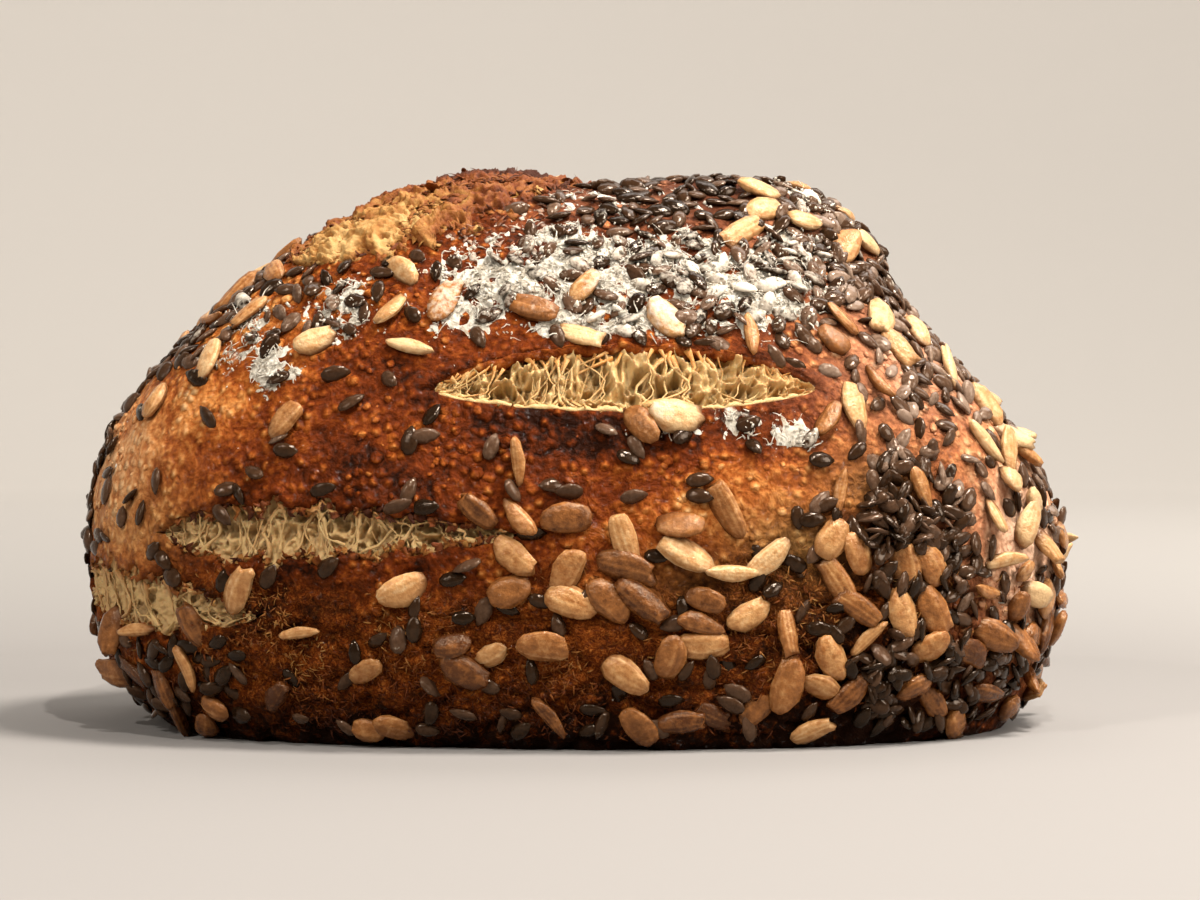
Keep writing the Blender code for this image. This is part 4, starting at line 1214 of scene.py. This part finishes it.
def kernel_shape(variant):
    """A hulled sunflower kernel: blunt at -X, pointed at +X and faintly ridged, each variant its own."""
    draws = np.random.default_rng(900 + variant)
    sharp, bend, plump, flat, groove = draws.uniform(
        (0.50, -0.16, 0.88, 0.70, 0.0), (0.95, 0.16, 1.16, 1.05, 0.16)
    )
    kind = variant % 7
    broken = kind in (2, 5)
    tip = (0.72, 0.44) if broken else (0.48, 0.10)
    blunt = (0.60, 0.80) if kind in (3, 5) else (0.26, 0.64)
    levels = (
        (-1.0, blunt[0]), (-0.86, blunt[1]), (-0.50, 0.95), (-0.10, 1.0), (0.28, 0.92),
        (0.60, 0.92 - 0.20 * sharp), (0.85, tip[0]), (0.92 if broken else 1.0, tip[1]),
    )
    points, faces = turned(levels, KERNEL_SIDES)
    x, y, z = points.T
    ridges = draws.random(KERNEL_SIDES) * (np.arange(KERNEL_SIDES) % 2 == variant % 2)
    ridge = np.tile(ridges, len(levels))
    girth = 0.94 + 0.12 * ridge - groove * np.exp(-((y / 0.2) ** 2)) * (z > 0)
    shape = np.column_stack([x, y * girth * plump + bend * x * x, z * girth * flat])
    if broken:
        shape[:, 0] += np.where(x > 0.8, 0.08 * np.sin(5.0 * y + variant) - 0.10 * z, 0.0)
    if kind == 4:
        shape = shape * (0.74, 1.02, 1.15)
    if kind == 6:
        shape = shape * (0.92, 0.66, 0.8) + np.outer(0.35 * x * x, (0.0, 0.0, 1.0))
    lumps = noise(points, 0.9, 950 + variant) + 0.7 * noise(points, 0.45, 970 + variant)
    shape *= (1.0 + 0.15 * lumps)[:, None]
    return shape * np.array(KERNEL_SIZE) / 2.0, faces, ridge


def linseed_shape(variant):
    """A linseed: a broad, flat drop whose tip leans to one side, with a hollow along its upper face."""
    points, faces = turned(((-0.98, 0.34), (-0.66, 0.82), (-0.05, 1.0), (0.58, 0.70), (1.0, 0.13)), 8)
    x, y, z = points.T
    draws = np.random.default_rng(980 + variant)
    lean, plump, flat, bent = draws.uniform((-0.18, 0.96, 0.65, -0.25), (0.18, 1.26, 0.95, 0.25))
    hollow = 0.35 * np.exp(-((y / 0.35) ** 2)) * (z > 0) * (variant % 3 == 0)
    y = y * plump + lean * np.maximum(x, 0.0) ** 2
    shape = np.column_stack([x, y, z * flat * (1.0 - hollow) + bent * x * x])
    return shape * np.array(LINSEED_SIZE) / 2.0, faces, np.zeros(len(x))


def seed_piece(name, slot, shapes, salt, seeds, pitch, roll, rise, lower_darkening, greyed_and_lit, bare, material):
    """All the seeds of one kind as one mesh, each with a tint that is partly its own and partly painted
    light, and the flour that fell on it.
    """
    places, turns, scales = seeds
    normals = outward(places)
    poses = seed_poses(normals, turns, pitch, roll)
    centres = places + normals * rise[:, None]
    draws = np.random.default_rng(salt)
    variant = draws.integers(0, len(shapes), len(places))
    x, z = places[:, 0], places[:, 2]
    # Seeds are darker low on the loaf. At the right end they are paler as painted light from the right, and
    # high on the right the linseeds are greyer and paler, partly their floury grey and partly painted light
    # where it grazes them.
    tints = draws.random(len(places)) * 0.8 + lower_darkening * smoothstep((0.060 - z) / 0.05)
    painted_right_light = smoothstep((x - 0.062) / 0.018) * smoothstep((z - 0.014) / 0.02)
    tints -= 1.1 * lower_darkening * painted_right_light
    tints += greyed_and_lit * smoothstep((x - 0.030) / 0.030) * smoothstep((z - 0.044) / 0.016)
    parts = []
    values = {"tint": [], "flour": [], "tip": [], "ridge": []}
    for k, (shape, faces, ridge) in enumerate(shapes):
        chosen = variant == k
        points, quads = copies(shape, faces, poses[chosen], centres[chosen], scales[chosen])
        top = np.einsum("nvi,ni->nv", points - centres[chosen][:, None, :], normals[chosen])
        film = amount(FLOUR_PATCHES, centres[chosen])[:, None] * 1.15 - bare + 240.0 * top
        film += 0.30 * draws.normal(size=len(film))[:, None]
        parts.append((points.reshape(-1, 3), quads))
        values["tint"].append(np.repeat(tints[chosen], len(shape)))
        values["flour"].append(film.ravel())
        tip = 0.35 * smoothstep(shape[:, 0] / np.abs(shape[:, 0]).max() * 2.0 - 1.0)
        # Painted shade low on each seed, where it meets the crust, carried in the tip value together with the
        # darker tip.
        low = smoothstep((0.0005 - top) / 0.0014)
        values["tip"].append(np.clip(tip[None, :] + 0.95 * low, 0.0, 0.95).ravel())
        values["ridge"].append(np.tile(ridge, chosen.sum()))
    values = {key: np.concatenate(value) for key, value in values.items()}
    make_piece(name, slot, *joined(parts), material, values)


def heap_seeds(kernels):
    """More linseeds that lie on the others in the heaps, clear of the kernels: places, turns and scales."""
    draws = np.random.default_rng(SOWING_SEED + 2)
    places = thrown(HEAPED_THROWN, draws)
    places = places[(draws.random(len(places)) < amount(HEAPS, places) ** 2) & ~opened(places)]
    apart = np.linalg.norm(places[:, None, :] - kernels[None, :, :], axis=2).min(axis=1)
    places = places[apart > KERNEL_ROOM][:HEAPED]
    count = len(places)
    return places, draws.uniform(-math.pi, math.pi, count), draws.uniform(*LINSEED_SCALES, count)


def seed_pieces():
    kernels, linseeds = (
        (places, turns[: len(places)], scales[: len(places)]) for places, turns, scales in all_seeds()
    )
    draws = np.random.default_rng(SOWING_SEED + 1)
    places = kernels[0]
    count = len(places)
    steep = np.maximum(smoothstep((places[:, 0] - 0.066) / 0.02), places[:, 0] < -0.086)
    pitch = draws.normal(0.0, 0.14, count) + steep * draws.uniform(0.0, 0.8, count)
    roll = draws.normal(0.0, 0.28, count)
    rise = relief(places) + 0.0007 + 0.0012 * np.abs(np.sin(pitch))
    shapes = [kernel_shape(k) for k in range(KERNEL_KINDS)]
    looks = (0.34, 0.0, 1.20, kernel_material())
    seed_piece("sunflower_kernels", "kernel", shapes, 71, kernels, pitch, roll, rise, *looks)
    linseeds = tuple(np.concatenate(pair) for pair in zip(linseeds, heap_seeds(kernels[0])))
    places = linseeds[0]
    count = len(places)
    heaped = amount(HEAPS, places)
    pitch = draws.normal(0.0, 0.20, count) * (1.0 + 1.6 * heaped)
    roll = draws.normal(0.0, 0.40, count) * (1.0 + 1.0 * heaped)
    rise = relief(places) + 0.0003 + draws.uniform(0.0, 0.0005, count)
    rise += np.clip(0.0008 * floured(places), 0.0, 0.0008) + 0.0014 * heaped * draws.random(count)
    shapes = [linseed_shape(k) for k in range(LINSEED_KINDS)]
    looks = (-0.15, 0.25, 0.92, linseed_material())
    seed_piece("linseeds", "linseed", shapes, 72, linseeds, pitch, roll, rise, *looks)
    return places


def flour_sheet(material):
    """The flour that lies on the crust and half buries the seeds, where it shows as a layer."""
    rows, columns = 290, 180
    x, turn = pairs(np.linspace(-0.075, 0.062, rows), np.radians(np.linspace(16.0, 150.0, columns)))
    points = onto_skin(np.column_stack([x, -0.06 * np.cos(turn), 0.038 + 0.068 * np.sin(turn)]))
    normals = outward(points)
    thick = floured(points)
    closed = opened(points)
    height = relief(points) + np.clip(0.0006 * thick, -0.0008, 0.0007)
    height = height + 0.00034 * rough_noise(points, 0.0013, 2, 700)
    points = points + normals * height[:, None]
    faces = sheet_faces(rows, columns, flip=True)
    faces = faces[(thick[faces] > -0.25).any(axis=1) & ~closed[faces].any(axis=1)]
    used, faces = np.unique(faces, return_inverse=True)
    make_piece("flour_layer", "flour", points[used], faces.reshape(-1, 4), material)


def flour_grains(material, linseeds):
    """Loose clumps of flour on the crust and on the seeds."""
    draws = np.random.default_rng(GRAIN_SEED)
    places = thrown(GRAINS_THROWN, draws)
    thick = floured(places)
    keep = (thick + draws.normal(0.0, 0.35, len(places)) > 0.10) & (thick > -0.3) & ~opened(places)
    places = places[keep][:GRAINS]
    on_seeds = linseeds[amount(FLOUR_PATCHES, linseeds) > BURIED_SEED].repeat(GRAINS_A_SEED, axis=0)
    on_seeds = onto_skin(on_seeds + draws.normal(0.0, 0.0008, on_seeds.shape))
    height = np.clip(0.0007 * floured(places), 0.0, 0.0008)
    height = np.concatenate([height, np.full(len(on_seeds), ON_A_SEED)])
    places = np.concatenate([places, on_seeds])
    normals = outward(places)
    size = draws.gamma(2.2, 0.00009, len(places)) + 0.00010
    height = height + relief(places)
    shape, faces = ball(1)
    turns = draws.uniform(-math.pi, math.pi, len(places))
    poses = seed_poses(normals, turns, turns * 1.7, turns * 2.3)
    points, faces = copies(shape * (1.5, 0.8, 0.6), faces, poses, places + normals * height[:, None], size)
    make_piece("flour_grains", "flour", points.reshape(-1, 3), faces, material)


def flour_fluff(material):
    """Fluffy threads of flour that stand off the crust and reach from seed to seed."""
    draws = np.random.default_rng(FLUFF_SEED)
    stations, sides = 4, 3
    places = thrown(FLUFF_THROWN, draws)
    keep = (floured(places) + draws.normal(0.0, 0.15, len(places)) > 0.05) & ~opened(places)
    places = places[keep][:FLUFF]
    count = len(places)
    normals = outward(places)
    height = relief(places) + np.clip(0.0005 * floured(places), 0.0, 0.0007)
    height = height + draws.uniform(0.0, 0.0007, count)
    along = tangents(normals, draws)
    lengths = draws.gamma(3.0, 0.0005, count) + 0.0004
    points, faces = curled_tubes(
        draws, places + normals * height[:, None], along, normals, lengths, (0.0, 0.9), (-1.8, -0.2),
        (0.00009, 0.00024), np.sqrt(1.05 - np.linspace(0.0, 1.0, stations)), sides, 0.7, shake=0.00012,
    )
    make_piece("flour_fluff", "flour", points, faces, material)


# ---- Floor, lights and camera ----

TARGET = Vector((0.0058, 0.0, 0.0538))
CAMERA_FAR = 0.70
CAMERA_DOWN = math.radians(1.6)
LENS_MM = 105.0
FLOOR_REACH, FLOOR_CURVE, WALL_TOP = 1.1, 0.7, 1.7
# The near colour is painted shade and the far colour painted light, evening out the lamps' light on the
# stage.
NEAR_COLOUR, FAR_COLOUR = (0.220, 0.201, 0.184), (0.63, 0.588, 0.537)
# The stage's far colour begins this far out, grows over the reach, and begins later in front of the loaf.
STAGE_START, STAGE_REACH, STAGE_DELAY, STAGE_FRONT = 0.20, 0.95, 0.75, 0.35
AIM = (0.0, 0.0, 0.055)
LAMPS = (  # name, place, aim, size, power and colour
    ("key", (0.32, -0.12, 0.85), AIM, 0.20, 13.2, (1.0, 0.965, 0.92)),
    ("fill", (-0.70, -0.75, 0.55), AIM, 0.24, 2.0, (1.0, 0.97, 0.94)),
    ("rim", (0.50, 0.46, 0.75), AIM, 0.60, 3.4, (1.0, 0.97, 0.93)),
    ("side", (0.78, -0.38, 0.50), AIM, 0.50, 7.2, (1.0, 0.97, 0.93)),
    ("sparkle", (0.12, -0.50, 0.75), AIM, 0.02, 4.3, (1.0, 0.98, 0.95)),
    ("glint", (-0.40, -0.60, 0.60), AIM, 0.02, 3.0, (1.0, 0.98, 0.95)),
    ("backdrop_light", (0.0, 0.75, 1.30), (0.0, 1.5, 0.10), 1.0, 9.0, (1.0, 0.97, 0.94)),
)


def bowl_stage():
    """A round floor that curves up into a plain backdrop on every side."""
    profile = [(0.6, 0.0), (FLOOR_REACH, 0.0)]
    for k in range(1, 13):
        angle = math.radians(90.0 * k / 12)
        out, up = FLOOR_CURVE * math.sin(angle), FLOOR_CURVE - FLOOR_CURVE * math.cos(angle)
        profile.append((FLOOR_REACH + out, up))
    profile.append((FLOOR_REACH + FLOOR_CURVE, WALL_TOP))
    turns = 96
    points = [
        (r * math.cos(2.0 * math.pi * k / turns), r * math.sin(2.0 * math.pi * k / turns), z)
        for r, z in profile for k in range(turns)
    ]
    points.append((0.0, 0.0, 0.0))
    faces = [(len(points) - 1, k, (k + 1) % turns) for k in range(turns)]
    for ring in range(len(profile) - 1):
        for k in range(turns):
            after = (k + 1) % turns
            near, far = ring * turns, (ring + 1) * turns
            faces.append((near + k, far + k, far + after, near + after))
    mesh = bpy.data.meshes.new("floor")
    mesh.from_pydata(points, [], faces)
    mesh.shade_smooth()
    mesh.materials.append(stage_material(NEAR_COLOUR, FAR_COLOUR))
    floor = bpy.data.objects.new("floor", mesh)
    bpy.context.scene.collection.objects.link(floor)


def area_light(name, place, aim, size, power, colour):
    light = bpy.data.lights.new(name, "AREA")
    light.shape = "DISK"
    light.size = size
    light.energy = power
    light.color = colour
    item = bpy.data.objects.new(name, light)
    item.location = place
    item.rotation_euler = (Vector(aim) - Vector(place)).to_track_quat("-Z", "Y").to_euler()
    bpy.context.scene.collection.objects.link(item)


def studio():
    for lamp in LAMPS:
        area_light(*lamp)
    scene = bpy.context.scene
    scene.world = bpy.data.worlds.new("studio")
    scene.world.use_nodes = True
    background = scene.world.node_tree.nodes["Background"]
    background.inputs["Color"].default_value = (1.0, 0.97, 0.93, 1.0)
    background.inputs["Strength"].default_value = 0.16

    camera = bpy.data.objects.new("camera", bpy.data.cameras.new("camera"))
    forward = Vector((0.0, math.cos(CAMERA_DOWN), -math.sin(CAMERA_DOWN)))
    camera.location = TARGET - forward * CAMERA_FAR
    camera.rotation_euler = forward.to_track_quat("-Z", "Y").to_euler()
    camera.data.sensor_width = 36.0
    camera.data.lens = LENS_MM
    camera.data.clip_start = 0.01
    scene.collection.objects.link(camera)
    scene.camera = camera
    scene.view_settings.view_transform = "Standard"
    scene.view_settings.look = "None"
    scene.view_settings.exposure = 0.0


# Each crumb's crest colour, the darker colour of its hollows, which is painted shade, and its toasted amber.
SLASH_COLOURS = ((0.52, 0.335, 0.132), (0.20, 0.125, 0.050), (0.50, 0.210, 0.045))
TEAR_COLOURS = ((0.50, 0.315, 0.125), (0.12, 0.068, 0.025), (0.33, 0.135, 0.030))
BLOOM_FLAKES = (
    (BLOOM, 1, -0.95, 0.10, 70, 0.0028, 0.0013, -0.6, 0.62),
    (BLOOM, 1, -0.20, 0.95, 110, 0.0032, 0.0016, 0.5, 0.56),
    (BLOOM, -1, -0.95, 0.00, 60, 0.0024, 0.0011, 0.7, 0.66),
    (BLOOM, -1, -0.05, 0.95, 90, 0.0028, 0.0013, 0.4, 0.62),
)
TEAR_FLAKES = (
    (LEFT_TEAR, 1, -0.95, 0.95, 70, 0.0020, 0.0007, 0.9, 0.80),
    (LEFT_TEAR, -1, -0.95, 0.95, 110, 0.0022, 0.0007, 0.8, 0.50),
    (END_TEAR, 1, -0.90, 0.95, 50, 0.0018, 0.0006, 0.8, 0.70),
    (END_TEAR, -1, -0.90, 0.95, 60, 0.0020, 0.0006, 0.7, 0.50),
    (SLASH, -1, -0.60, 0.90, 40, 0.0014, 0.0004, 0.5, 0.20),
)


def main():
    crust = crust_material()
    torn = torn_material()
    slash = crumb_material("slash_crumb", *SLASH_COLOURS, 0.42)
    tear = crumb_material("tear_crumb", *TEAR_COLOURS, 0.55)
    flour = flour_material()
    for make in (crust_piece, blister_piece, lip_piece):
        make(crust)
    pale_edge(slash)
    crumb_piece("slash_crumb", slash, SLASH, 320, 64, (0.0060, 0.0074), 0.0052, 0.0013, 100, 0.24)
    web_piece("slash_webs", slash, SLASH, 11, 10, 62, 0.00034, 0.50, 0.130, 0.35)
    crumb_piece("left_tear_crumb", tear, LEFT_TEAR, 240, 44, (0.0042, 0.0060), 0.0030, 0.0012, 200, 0.55)
    crumb_piece("end_tear_crumb", tear, END_TEAR, 160, 44, (0.0030, 0.0044), 0.0018, 0.0010, 300, 0.40)
    web_piece("left_tear_webs", tear, LEFT_TEAR, 12, 14, 54, 0.00038, 0.60, 0.080, 0.3)
    web_piece("end_tear_webs", tear, END_TEAR, 13, 10, 46, 0.00038, 0.60, 0.090, 0.3)
    for make in (bloom_piece, bloom_shreds, bloom_leaves):
        make(torn)
    flake_piece("bloom_flakes", torn, 61, BLOOM_FLAKES)
    flake_piece("tear_flakes", torn, 62, TEAR_FLAKES)
    fibre_piece(torn)
    linseeds = seed_pieces()
    flour_sheet(flour)
    flour_grains(flour, linseeds)
    flour_fluff(flour)
    bowl_stage()
    studio()


main()
